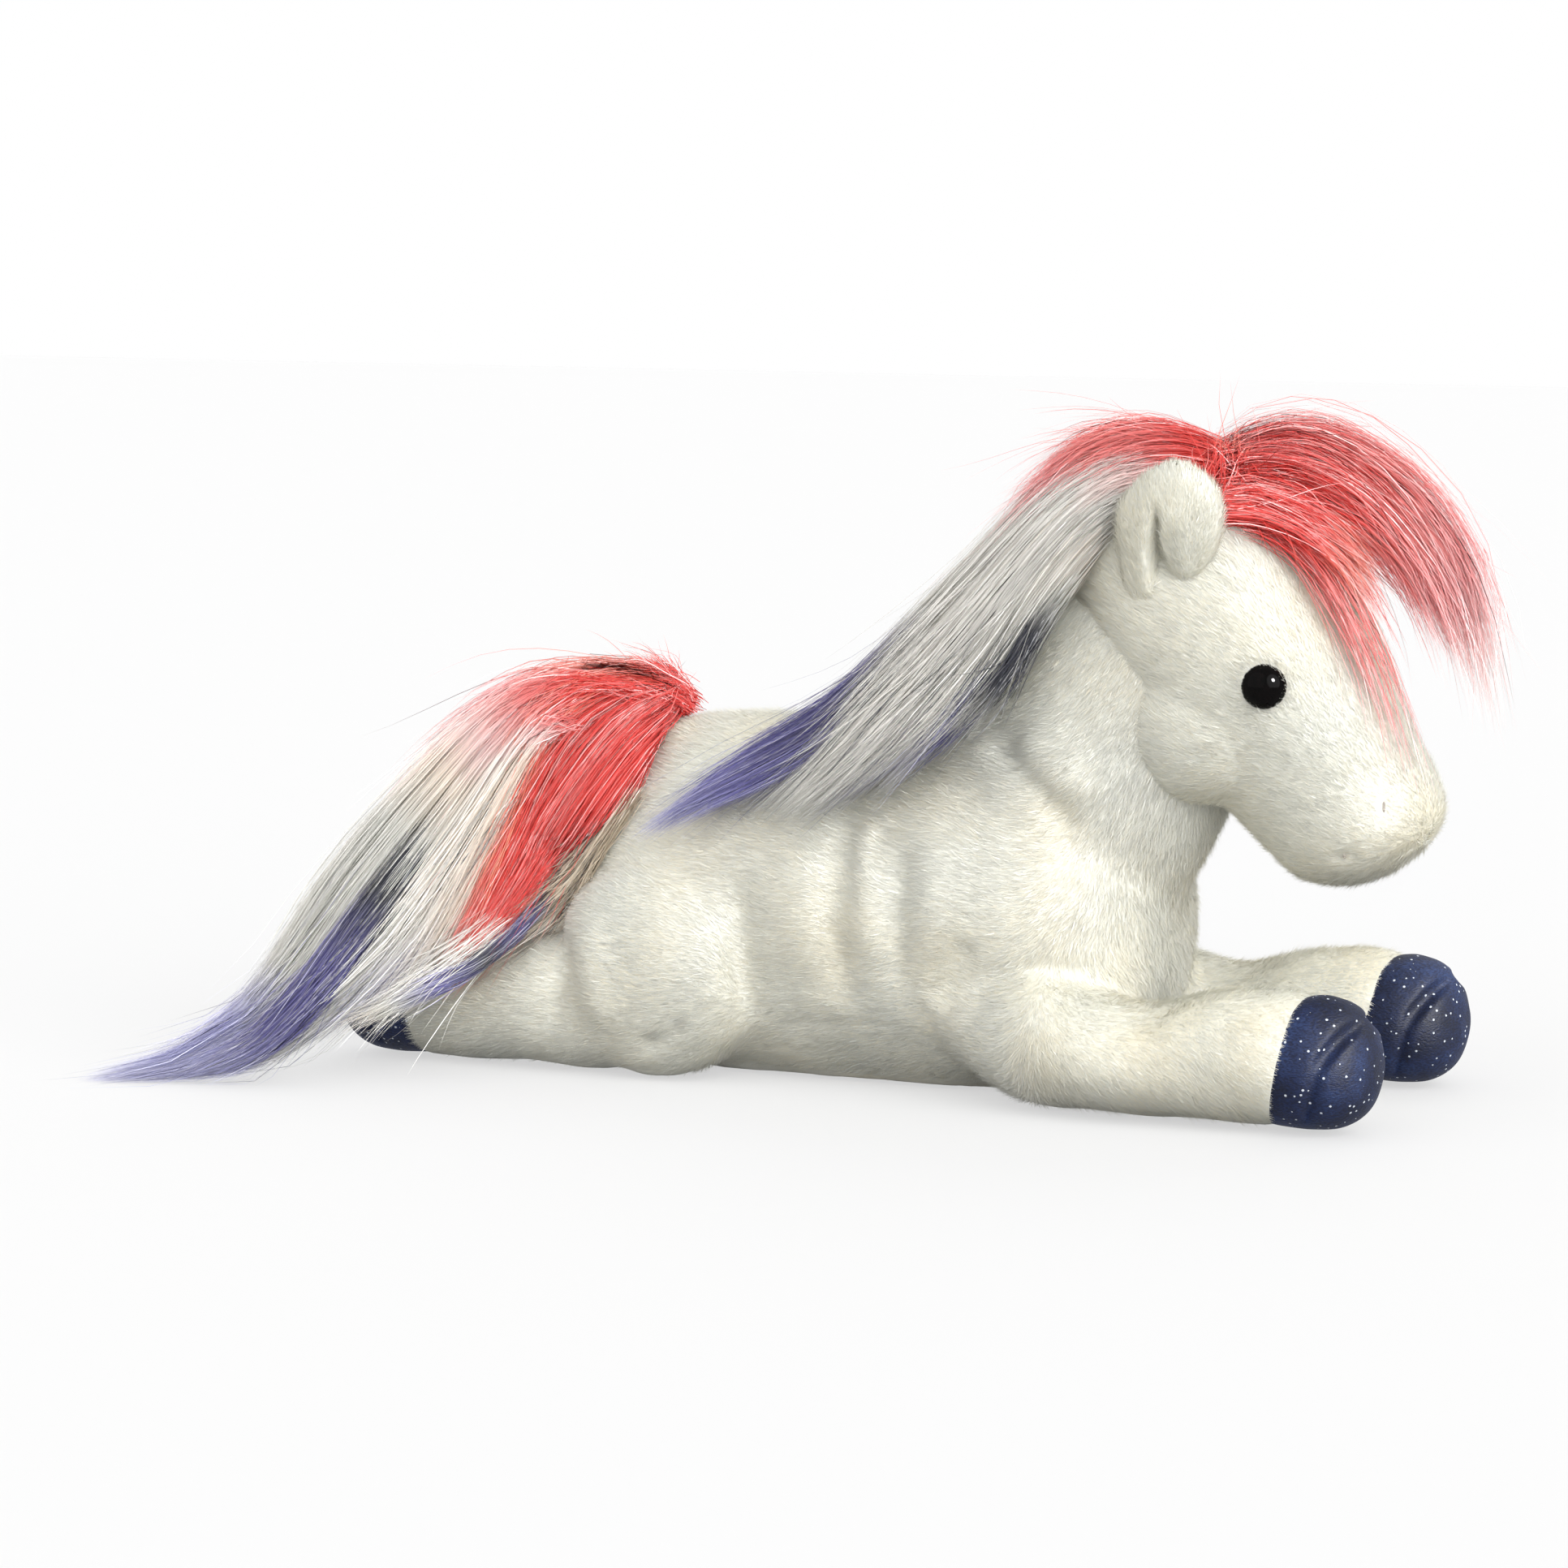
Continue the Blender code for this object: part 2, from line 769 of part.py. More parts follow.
def make_haunch(name, side, look=None):
    radii = (haunch_radius, haunch_thickness / 2.0, haunch_radius)
    return ball(name, hindleg_pivot(side), radii, look)


def make_shank(name, side, look=None):
    start = Vector((-haunch_back, side * shank_spread, seam_gap + shank_height / 2.0))
    end = Vector((-hind_hoof_seam_back, side * shank_spread, start.z))
    sections = leg_sections(SHANK_SHARES, start, end, shank_height, shank_width, seam_gap)
    return soft_form(name, sections, look)


def hoof_frame(seam_x, spread, way, lean):
    """Place at a hoof's seam on the floor, with +X to the toe and leaning with it."""
    flip = Matrix.Diagonal((way, 1.0, 1.0, 1.0))
    turn = Matrix.Rotation(math.radians(lean), 4, LEFT)
    return Matrix.Translation(Vector((seam_x, spread, 0.0))) @ flip @ turn


def hoof_slab(name, start, end, seam_x, spread, way, lean):
    """Slab across a hoof, from start to end past its seam."""
    low = Vector((start, -hoof_width, -hoof_height))
    high = Vector((end, hoof_width, 2.0 * hoof_height))
    slab = box(name, low, high)
    slab.data.transform(hoof_frame(seam_x, spread, way, lean))
    if way < 0.0:
        slab.data.flip_normals()
    return slab


def seam_cut(name, seam_x, spread, way, gap):
    """Everything on the toe's side of a hoof's seam."""
    return hoof_slab(name, gap, 2.0 * hoof_length, seam_x, spread, way, hoof_seam_tilt_degrees)


def sole_groove(seam_x, spread, way):
    """Slab with the hoof's form taken out, which cuts the seam round the sole."""
    end = sole_seam_offset + sole_groove_width
    slab = hoof_slab("groove", sole_seam_offset, end, seam_x, spread, way, sole_lean_degrees)
    core = hoof_form("groove_core", seam_x, spread, way, sole_groove_depth)
    combine(slab, core, "DIFFERENCE")
    return slab


def hoof_form(name, seam_x, spread, way, shrink=0.0, look=None, levels=1):
    """The hoof's outer form, or the same form taken in all round."""
    sections = []
    for along, tall, wide in HOOF_SHARES:
        reach = along * (hoof_length - shrink)
        rise = UP * max(tall * hoof_height / 2.0 - shrink, shrink)
        side = LEFT * max(wide * hoof_width / 2.0 - shrink, shrink)
        centre = Vector((seam_x + way * reach, spread, seam_gap + hoof_height / 2.0))
        sections.append((centre, side, rise, -rise))
    return soft_form(name, sections, look, levels)


def make_hoof(word, seam_x, spread, way, leg):
    """Velour cap sewn to the leg's end, with its sole's seam and its bag of pellets."""
    hoof = hoof_form(word, seam_x, spread, way, look=VELOUR)
    combine(hoof, seam_cut("toe_side", seam_x, spread, way, seam_gap), "INTERSECT")
    hollow = hoof_form("hoof_hollow", seam_x, spread, way, hoof_wall, levels=0)
    combine(hoof, hollow, "DIFFERENCE")
    combine(hoof, sole_groove(seam_x, spread, way), "DIFFERENCE")
    bag = hoof_form(
        word.replace("hoof", "hoof_bean_bag"), seam_x, spread, way,
        hoof_wall + hoof_bag_clearance, CANVAS, 0,
    )
    combine(bag, seam_cut("bag_side", seam_x, spread, way, hoof_bag_clearance), "INTERSECT")
    combine(leg, seam_cut("hoof_side", seam_x, spread, way, 0.0), "DIFFERENCE")
    return hoof, bag


def make_room(torso, form, side, inner_face, poses):
    """Cut from the torso the room of a leg's form, flat at the leg's inner face."""
    room = sweep_of(form, poses, swing_gap, "leg_room")
    combine(room, outer_half("room_side", side, inner_face - seam_gap), "INTERSECT")
    combine(torso, room, "DIFFERENCE")


def fit_foreleg(word, side, torso):
    spread = side * foreleg_spread
    leg = make_foreleg(word, side)
    poses = lifts(foreleg_pivot(side), -LEFT, foreleg_lift_degrees)
    make_room(torso, leg, side, foreleg_inner_face, poses)
    hoof, bag = make_hoof("fore_hoof_" + word, fore_hoof_seam_x, spread, 1.0, leg)
    combine(leg, outer_half("leg_side", side, foreleg_inner_face), "INTERSECT")
    seat_on_joint("foreleg_joint_" + word, foreleg_pivot(side), (leg, hoof, bag))


def fit_hindleg(word, side, torso, tail):
    spread = side * shank_spread
    leg = make_haunch("hindleg_" + word, side, PLUSH)
    shank = make_shank("shank", side)
    poses = lifts(hindleg_pivot(side), LEFT, hindleg_lift_degrees)
    make_room(torso, leg, side, hindleg_inner_face, (Matrix.Identity(4),))
    make_room(torso, shank, side, hindleg_inner_face, poses)
    toe = hoof_form("toe", -hind_hoof_seam_back, spread, -1.0)
    for form in (shank, toe):
        clear_for(tail, form, poses)
    remove(toe)
    combine(leg, shank, "UNION")
    hoof, bag = make_hoof("hind_hoof_" + word, -hind_hoof_seam_back, spread, -1.0, leg)
    combine(leg, outer_half("leg_side", side, hindleg_inner_face), "INTERSECT")
    seat_on_joint("hindleg_joint_" + word, hindleg_pivot(side), (leg, hoof, bag))


def even_steps(low, high, count):
    return [low + (high - low) * step / (count - 1) for step in range(count)]


def lifts(pivot, axis, limit):
    return [turn_about(pivot, axis, angle) for angle in even_steps(0.0, limit, 3)]


def head_poses():
    """Turn and nod taken together, as the joints can."""
    poses = []
    for turn in even_steps(-head_turn_degrees, head_turn_degrees, 3):
        for nod in even_steps(-head_nod_up_degrees, head_nod_down_degrees, 3):
            turned = turn_about(HEAD_PIVOT, NECK_AXIS, turn)
            poses.append(turned @ turn_about(HEAD_PIVOT, LEFT, nod))
    return poses


def hair_places(rows, start, reach, swing, fall):
    """Places along a lock from where it is sewn in, by shares of its sizes."""
    places = []
    for row in rows:
        offset = FORWARD * reach * row[0] - LEFT * swing * row[1] - UP * fall * row[2]
        places.append(start + offset)
    return places


def hair_sizes(rows, breadth, thickness):
    return [(row[3] * breadth, row[4] * thickness) for row in rows]


def make_tail():
    start = Vector((-dock_back, 0.0, tail_tip_height))
    height = dock_z - tail_tip_height
    places = hair_places(TAIL_SHARES, start, -tail_reach, tail_swing, -height)
    sizes = hair_sizes(TAIL_SHARES, tail_depth, tail_thickness)
    return lock_form("tail", places, sizes, UP - FORWARD, MIXED_PILE)


def make_mane():
    start = Vector((mane_top_x, 0.0, mane_top_z))
    places = hair_places(MANE_SHARES, start, -mane_reach, mane_drape, mane_fall)
    over = FORWARD * mane_breadth - LEFT * mane_drape - UP * mane_breadth / 2.0
    sizes = hair_sizes(MANE_SHARES, mane_breadth, mane_thickness)
    return lock_form("mane", places, sizes, over, MIXED_PILE)


def make_crown_tuft():
    start = Vector((parting_x, 0.0, parting_z))
    places = hair_places(TUFT_SHARES, start, -tuft_reach, tuft_drape, tuft_fall)
    sizes = hair_sizes(TUFT_SHARES, tuft_breadth, tuft_thickness)
    return lock_form("crown_tuft", places, sizes, LEFT, RED_PILE)


def make_forelock():
    start = Vector((parting_x, 0.0, parting_z))
    places = hair_places(FORELOCK_SHARES, start, forelock_reach, forelock_drape, forelock_fall)
    sizes = hair_sizes(FORELOCK_SHARES, forelock_breadth, forelock_thickness)
    return lock_form("forelock", places, sizes, UP, RED_PILE)


def oval_plate(name, rear, front, width, low, high, look=None):
    """Upright oval prism between two levels."""
    middle = Vector(((front - rear) / 2.0, 0.0, (low + high) / 2.0))
    plate = disc(name, Vector(), UP, 1.0, high - low, look)
    shape = Matrix.Diagonal(((front + rear) / 2.0, width / 2.0, 1.0, 1.0))
    plate.data.transform(Matrix.Translation(middle) @ shape)
    return plate


def make_belly(torso):
    """Flat panel under the body, and the bean bag in the hollow over it."""
    level = panel_thickness + seam_gap
    low = Vector((-2.0 * body_rear, -body_width, -body_height))
    high = Vector((2.0 * body_front, body_width, level))
    combine(torso, box("floor_cut", low, high), "DIFFERENCE")
    oval_plate("belly_panel", panel_rear, panel_front, panel_width, 0.0, panel_thickness, PLUSH)
    middle = (panel_front - panel_rear) / 2.0
    rear = bean_bag_length / 2.0 - middle
    front = bean_bag_length / 2.0 + middle
    bag = oval_plate(
        "belly_bean_bag", rear, front, bean_bag_width, level, level + bean_bag_height, CANVAS
    )
    bevel = bag.modifiers.new("Bevel", "BEVEL")
    bevel.width = bean_bag_height * bean_bag_round_share
    bevel.segments = 2
    apply_modifiers(bag)
    hollow = oval_plate(
        "bag_hollow", rear + seam_gap, front + seam_gap, bean_bag_width + 2.0 * seam_gap,
        level - cut_overrun, level + bean_bag_height + seam_gap,
    )
    combine(torso, hollow, "DIFFERENCE")


def seat_on_joint(name, point, pieces):
    """Parent the pieces of a moving body to an empty on its joint's axis."""
    empty = bpy.data.objects.new(name, None)
    empty.location = point
    PARTS.objects.link(empty)
    for piece in pieces:
        piece.data.transform(Matrix.Translation(-point))
        piece.parent = empty


def part(name):
    return bpy.data.objects[name]


def build():
    torso = make_torso()
    head = make_head()
    tuft = make_crown_tuft()
    forelock = make_forelock()
    mane = make_mane()
    tail = make_tail()

    # Room for the head, and for the ears and the tuft that ride on it
    poses = head_poses()
    head_room = soft_form("head_room", head_sections())
    for target in (torso, mane):
        clear_for(target, head_room, poses)
        combine(target, neck_ball("socket", swing_gap), "DIFFERENCE")
    remove(head_room)
    for target in (torso, mane):
        clear_for(target, tuft, poses)
    sit_on(tuft, head)
    sit_on(forelock, head)
    sit_on(forelock, tuft)
    ears = []
    for word, side in SIDES:
        ear, lining, outer, foot = make_ear(word, side)
        folds = [turn_about(foot, FORWARD, a) for a in even_steps(-ear_fold_degrees, ear_fold_degrees, 3)]
        for target in (head, tuft, forelock):
            clear_for(target, outer, folds)
        clear_for(mane, outer, poses)
        remove(outer)
        seat_on_joint("ear_joint_" + word, foot, (ear, lining))
    seat_on_joint("neck_joint", HEAD_PIVOT, (make_thread_ring(torso),))
    for word, side in SIDES:
        make_eye(word, side, head)
        make_nostril(word, side, head)

    # Belly, legs and tail
    make_belly(torso)
    for word, side in SIDES:
        fit_foreleg(word, side, torso)
        fit_hindleg(word, side, torso, tail)
    sit_on(mane, torso)
    sit_on(tail, torso)
    for piece in (torso, head, mane, tuft, forelock, tail):
        drop_crumbs(piece)
    seat_on_joint("tail_joint", Vector((-dock_back, 0.0, dock_z)), (tail,))
    riding = [head, tuft, forelock]
    for word, side in SIDES:
        riding += [part("eye_" + word), part("eye_washer_" + word), part("nostril_stitch_" + word)]
    seat_on_joint("head_joint", HEAD_PIVOT, riding)


build()
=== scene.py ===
"""Looks of a plush horse that lies on its belly.

Skins are lofted, fused and then pressed into folds. A short pile covers them, and long
pile makes the mane, crown tuft, forelock and tail. Metres, in the frame of the CAD model.
"""
import math

import bmesh
import bpy
import numpy as np
from mathutils import Matrix, Vector
from mathutils.bvhtree import BVHTree


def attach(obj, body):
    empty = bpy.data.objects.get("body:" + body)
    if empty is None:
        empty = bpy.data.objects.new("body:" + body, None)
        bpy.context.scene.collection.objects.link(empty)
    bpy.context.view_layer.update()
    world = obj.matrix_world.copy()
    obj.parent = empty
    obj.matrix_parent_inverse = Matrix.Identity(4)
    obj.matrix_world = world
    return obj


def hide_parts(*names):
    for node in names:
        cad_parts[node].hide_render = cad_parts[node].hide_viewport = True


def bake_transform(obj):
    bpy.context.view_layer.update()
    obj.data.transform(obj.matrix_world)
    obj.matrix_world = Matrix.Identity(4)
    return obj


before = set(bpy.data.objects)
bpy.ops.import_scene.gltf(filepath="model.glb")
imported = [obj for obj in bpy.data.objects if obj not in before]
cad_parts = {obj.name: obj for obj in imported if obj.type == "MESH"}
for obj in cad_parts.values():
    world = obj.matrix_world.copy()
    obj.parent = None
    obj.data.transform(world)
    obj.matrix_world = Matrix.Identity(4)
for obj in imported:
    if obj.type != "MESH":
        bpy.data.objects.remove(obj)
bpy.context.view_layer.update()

mm = 0.001
SIDES = (("right", -1.0), ("left", 1.0))
UP = Vector((0.0, 0.0, 1.0))
LEFT = Vector((0.0, 1.0, 0.0))
FORWARD = Vector((1.0, 0.0, 0.0))

# The photograph's view
PHOTO_SIZE = 1932.0
CAMERA_AZIMUTH = 25.0
CAMERA_ELEVATION = 7.2
CAMERA_DISTANCE = 1.4
CAMERA_TARGET = Vector((-28.3, 0.0, 77.9)) * mm
CAMERA_LENS = 115.3
SENSOR_WIDTH = 36.0

# Places taken from the frame, in millimetres
HEAD_PIVOT = Vector((90.0, 0.0, 125.0))
HEAD_AXIS = Vector((0.6428, 0.0, -0.7660))
HEAD_RISE = Vector((0.7660, 0.0, 0.6428))
NECK_FOOT = Vector((40.0, 0.0, 60.0))
NECK_AXIS = (HEAD_PIVOT - NECK_FOOT).normalized()
HAUNCH_CENTRE = Vector((-48.0, 38.0, 30.8))
HAUNCH_RADII = Vector((30.5, 18.5, 30.5))
FORELEG_START = Vector((56.0, 37.0, 20.8))
FORE_SEAM_X = 132.5
HIND_SEAM_X = -121.0
SHANK_START = Vector((-48.0, 36.0, 17.3))
FLOOR_GAP = 0.9
EYE_SEAT = Vector((123.2, 29.9, 115.0))
EYE_OUT = Vector((0.26, 1.0, 0.06))
EYE_RADIUS = 6.0
EYE_DOME = 4.4
NOSTRIL = Vector((151.6, 15.8, 82.8))
NOSTRIL_ROOM = 1.3
MOUTH_PIXEL = (1657, 1054)
STITCH_RADII = Vector((0.5, 1.1, 0.8))

# Body: x, underside, top, half width
BODY_RINGS = (
    (-87, 34, 58, 9), (-82.5, 14, 79, 26), (-66, 0, 92.5, 40), (-39, -5, 97.5, 45.5), (-8, -5, 97.5, 46.5),
    (26, -5, 100, 47), (54, -2, 97.5, 45), (74, 8, 87, 37.5), (85.5, 20, 71, 23.5), (88.5, 34, 56, 9),
)

# Neck: distance from its foot, behind the axis, in front of it, half width
NECK_RINGS = (
    (-12, 40, 32, 27), (0, 46, 42, 33.5), (27, 46.5, 42.2, 35.5), (54, 42.5, 37.4, 32.6),
    (76, 38, 28.5, 29.6), (90, 30, 22, 26.4), (97, 15, 11, 12),
)

# Head: distance along its axis from the pivot, lift, half depth, half width
HEAD_RINGS = (
    (-40.5, 9.5, 10, 9), (-33.5, 10, 25.5, 24.5), (-9, 10.8, 34.6, 32.8), (20, 11, 33.6, 33.6),
    (44.5, 9.8, 28.4, 26.8), (60.5, 8.3, 25, 21.6), (71.5, 8.6, 22.8, 19.6), (80.5, 11, 16.1, 15),
    (84.8, 11.5, 6.5, 6),
)

# Cheeks: the middle and the radii of a ball on each side
CHEEK = Vector((101.5, 13.5, 103.5))
CHEEK_RADII = Vector((25.0, 19.0, 22.0))

# Forelegs: x, shift to the middle, underside, top, half width
FORELEG_RINGS = (
    (37, 8, 15, 25, 5), (42, 6.5, 9, 31, 12), (52, 3.5, 4, 35, 16.5), (66, 0.8, 0.5, 35.2, 19),
    (80, 0, 0, 31.8, 19.6), (90, 0, 0, 29.2, 19.2), (99, 0, 0, 29.6, 18.6), (112, 0, 0, 33.8, 18.2),
    (126, 0, 0, 35.4, 17.7), (132, 0, 0.2, 35, 17.3), (135.5, 0, 1.6, 33.4, 15.6), (138, 0, 5, 28, 11),
)

# Shanks: the same columns
SHANK_RINGS = (
    (-53, 0, 4, 24, 9), (-62, 0, 0.5, 38.5, 15.5), (-84, 0, 0, 36.6, 16.3), (-106, 0, 0, 34.4, 16),
    (-121, 0, 0, 33.6, 16), (-125, 0, 1.2, 32, 14.8),
)

# Hooves: distance from the seam, half height, half width
HOOF_RINGS = (
    (-4, 15.4, 15.2), (0, 16.9, 16.6), (4, 17.4, 17.2), (10, 17.5, 17.4), (17, 16.2, 16.2),
    (22.4, 12, 12.2), (25.4, 4.6, 4.6),
)


# The height of a hoof's middle, and a height that no hoof reaches
HOOF_HEIGHT = 17.6
HOOF_TOP = 42.0

# The seams of the hooves lean: how far they sit out at mid height, and how much more at the top
SEAM_OUT = 2.2
SEAM_LEAN = 4.2

# The near fore hoof's seam, from its pinched end at the toe down to the floor
HOOF_SEAM_PIXELS = (
    (1681, 1257), (1671, 1266), (1657, 1276), (1642, 1292), (1629, 1308), (1621, 1326), (1616, 1345),
    (1612, 1366), (1609, 1384),
)

# Ears: distance from the foot, shift forward, half width, half thickness
EAR_RINGS = (
    (-4.5, -7.4, 2.2, 2.6), (1, -6.6, 3.8, 4), (7, -4.4, 7, 5.6), (13.5, -1.6, 11, 6.8),
    (21, 0.1, 13.6, 7.4), (28.5, 1, 14.4, 7.2), (34.5, 2.4, 12.6, 6.4), (39.5, 3.2, 8.6, 4.8),
    (42.6, 3.2, 3.4, 2.4),
)

EAR_SLIT = ((0, 7, 13.5, 20.5, 31.5), (1.6, 1.2, -0.7, -1.6, -0.6))
EAR_FOOT = Vector((94.1, 25.5, 131.0))
EAR_LEAN = Vector((0.10, 0.26, 1.0))


def camera_axes():
    """The view's direction, right and up."""
    azimuth = math.radians(CAMERA_AZIMUTH)
    elevation = math.radians(CAMERA_ELEVATION)
    view = Vector((
        -math.sin(azimuth) * math.cos(elevation),
        math.cos(azimuth) * math.cos(elevation),
        -math.sin(elevation),
    ))
    right = Vector((math.cos(azimuth), math.sin(azimuth), 0.0))
    return view, right, right.cross(view)


VIEW, RIGHT, VIEW_UP = camera_axes()
EYE = CAMERA_TARGET - VIEW * CAMERA_DISTANCE


def sight(px, py):
    """Direction from the camera through a pixel of the photograph."""
    focal = CAMERA_LENS / SENSOR_WIDTH * PHOTO_SIZE
    half = PHOTO_SIZE / 2.0
    return VIEW + RIGHT * ((px - half) / focal) - VIEW_UP * ((py - half) / focal)


def seen(px, py, y):
    """Point at a pixel of the photograph on the upright plane y, in metres."""
    ray = sight(px, py)
    return EYE + ray * ((y * mm - EYE.y) / ray.y)


# Meshes

LOFT_STEPS = 6
LOFT_AROUND = 44
EYE_AROUND = 56


def new_piece(name, mesh):
    piece = bpy.data.objects.new(name, mesh)
    bpy.context.scene.collection.objects.link(piece)
    return piece


def piece_from(name, shape):
    """A piece with a form's mesh; the form is freed."""
    mesh = bpy.data.meshes.new(name)
    shape.to_mesh(mesh)
    shape.free()
    return new_piece(name, mesh)


def mesh_from(name, points, faces):
    mesh = bpy.data.meshes.new(name)
    mesh.from_pydata([tuple(point) for point in points], [], faces)
    mesh.update()
    return mesh


def mirror_place(point, side):
    """A place given for the left side, on the side asked for."""
    return Vector((point.x, side * point.y, point.z))


def smooth_rows(rows, steps):
    """Rows of numbers with a Catmull-Rom curve drawn through them."""
    rows = np.array(rows, float)
    padded = np.vstack((2.0 * rows[0] - rows[1], rows, 2.0 * rows[-1] - rows[-2]))
    out = []
    for index in range(len(rows) - 1):
        before, first, second, after = padded[index:index + 4]
        for t in np.linspace(0.0, 1.0, steps, endpoint=False):
            out.append(0.5 * (
                2.0 * first + (second - before) * t
                + (2.0 * before - 5.0 * first + 4.0 * second - after) * t ** 2
                + (3.0 * first - before - 3.0 * second + after) * t ** 3
            ))
    out.append(rows[-1])
    return np.array(out)


def circle(around):
    """Cosine and sine at even places round a circle."""
    angles = [2.0 * math.pi * index / around for index in range(around)]
    return [(math.cos(angle), math.sin(angle)) for angle in angles]


def closed_form(rows):
    """Closed form through loops of points, capped at both ends."""
    shape = bmesh.new()
    loops = [[shape.verts.new(point) for point in row] for row in rows]
    for first, second in zip(loops, loops[1:]):
        for index in range(len(first)):
            after = (index + 1) % len(first)
            shape.faces.new((first[index], first[after], second[after], second[index]))
    shape.faces.new(loops[0])
    shape.faces.new(loops[-1])
    bmesh.ops.recalc_face_normals(shape, faces=shape.faces)
    return shape


def loft(rings, place):
    """Closed form through rings; place(row, cos, sin) gives a point in millimetres."""
    rows = smooth_rows(rings, LOFT_STEPS)
    return closed_form([[place(row, c, s) * mm for c, s in circle(LOFT_AROUND)] for row in rows])


def body_form():
    def place(row, c, s):
        x, low, high, half = row
        return Vector((x, half * c, (low + high) / 2.0 + (high - low) / 2.0 * s))
    return loft(BODY_RINGS, place)


def neck_form():
    front = Vector((NECK_AXIS.z, 0.0, -NECK_AXIS.x))

    def place(row, c, s):
        along, behind, ahead, half = row
        reach = ahead if s > 0.0 else behind
        return NECK_FOOT + NECK_AXIS * along + LEFT * half * c + front * reach * s
    return loft(NECK_RINGS, place)


def head_form():
    def place(row, c, s):
        along, lift, depth, half = row
        return HEAD_PIVOT + HEAD_AXIS * along + HEAD_RISE * (lift + depth * s) + LEFT * half * c
    return loft(HEAD_RINGS, place)


def seam_lean(beyond, s):
    """How far a leaning seam moves what lies beyond its line, at a height s from -1 to 1."""
    return (SEAM_OUT + SEAM_LEAN * s) * max(0.0, 1.0 - abs(beyond) / 14.0)


def lying_form(rings, y):
    """A leg that lies on the floor along X."""
    inward = -1.0 if y > 0.0 else 1.0
    way, seam_x = (1.0, FORE_SEAM_X) if rings[-1][0] > 0.0 else (-1.0, HIND_SEAM_X)

    def place(row, c, s):
        x, shift, low, high, wide = row
        z = FLOOR_GAP + (low + high) / 2.0 + (high - low) / 2.0 * s
        return Vector((x + way * seam_lean(x - seam_x, s), y + inward * shift + wide * c, z))
    return loft(rings, place)


def ball_form(centre, radii):
    shape = bmesh.new()
    bmesh.ops.create_uvsphere(shape, u_segments=40, v_segments=24, radius=1.0)
    shape.transform(Matrix.Translation(centre * mm) @ Matrix.Diagonal(radii * mm).to_4x4())
    return shape


def fused(name, shapes, voxel):
    """One closed skin round all the shapes."""
    whole = bmesh.new()
    for shape in shapes:
        part = bpy.data.meshes.new(name + "_part")
        shape.to_mesh(part)
        shape.free()
        whole.from_mesh(part)
        bpy.data.meshes.remove(part)
    piece = piece_from(name, whole)
    joined = piece.data
    remesh = piece.modifiers.new("Remesh", "REMESH")
    remesh.mode = "VOXEL"
    remesh.voxel_size = voxel * mm
    graph = bpy.context.evaluated_depsgraph_get()
    mesh = bpy.data.meshes.new_from_object(piece.evaluated_get(graph))
    piece.modifiers.clear()
    piece.data = mesh
    bpy.data.meshes.remove(joined)
    return piece


def numbers_of(items, field, size, kind=float):
    """One field of a mesh's items, in rows of a size."""
    out = np.empty(len(items) * size, kind)
    items.foreach_get(field, out)
    return out.reshape(-1, size)


def points_of(mesh):
    return numbers_of(mesh.vertices, "co", 3)


def normals_of(mesh):
    return numbers_of(mesh.vertex_normals, "vector", 3)


def triangles_of(mesh):
    mesh.calc_loop_triangles()
    return numbers_of(mesh.loop_triangles, "vertices", 3, np.int64)


def set_points(mesh, points):
    mesh.vertices.foreach_set("co", points.ravel())
    mesh.update()


def relax(piece, steps, fill=0.5, wear=0.5):
    """Smooth a skin: fill acts on its hollows and wear on its bulges."""
    mesh = piece.data
    edges = numbers_of(mesh.edges, "vertices", 2, np.int64)
    start = np.concatenate((edges[:, 0], edges[:, 1]))
    end = np.concatenate((edges[:, 1], edges[:, 0]))
    size = len(mesh.vertices)
    count = np.maximum(np.bincount(start, minlength=size), 1)[:, None]
    for _ in range(steps):
        points = points_of(mesh)
        near = [np.bincount(start, points[end, axis], minlength=size) for axis in range(3)]
        move = np.stack(near, axis=1) / count - points
        out = (move * normals_of(mesh)).sum(axis=1, keepdims=True)
        set_points(mesh, points + move * np.where(out > 0.0, fill, wear))


def smooth_step(values, low, high):
    t = np.clip((values - low) / (high - low), 0.0, 1.0)
    return t * t * (3.0 - 2.0 * t)


def resampled(path, steps):
    """A smooth curve through a path, at even places along it."""
    dense = smooth_rows(path, 12)
    gaps = np.linalg.norm(np.diff(dense, axis=0), axis=1)
    along = np.concatenate(([0.0], np.cumsum(gaps)))
    wanted = np.linspace(0.0, along[-1], steps)
    return np.stack([np.interp(wanted, along, dense[:, axis]) for axis in range(3)], axis=1)


def near_path(points, path):
    """Distance of each point from a line through a path, and the place along it."""
    best = np.full(len(points), np.inf)
    along = np.zeros(len(points))
    for index, (first, second) in enumerate(zip(path, path[1:])):
        way = second - first
        t = np.clip(((points - first) @ way) / (way @ way), 0.0, 1.0)
        far = np.linalg.norm(points - first - t[:, None] * way, axis=1)
        along = np.where(far < best, (index + t) / (len(path) - 1), along)
        best = np.minimum(best, far)
    return best, along


def press(piece, path, width, depth, fade=0.3):
    """Press a fold along a path into a skin, or raise a ridge if depth is negative."""
    points = points_of(piece.data)
    curve = np.array([tuple(point) for point in path])
    if len(curve) > 2 and fade:
        curve = resampled(curve, 20)
    near, along = near_path(points, curve)
    amount = depth * mm * np.exp(-(near / (width * mm)) ** 2)
    if fade:
        amount *= smooth_step(along, -0.02, fade) * smooth_step(1.0 - along, -0.02, fade)
    set_points(piece.data, points - normals_of(piece.data) * amount[:, None])


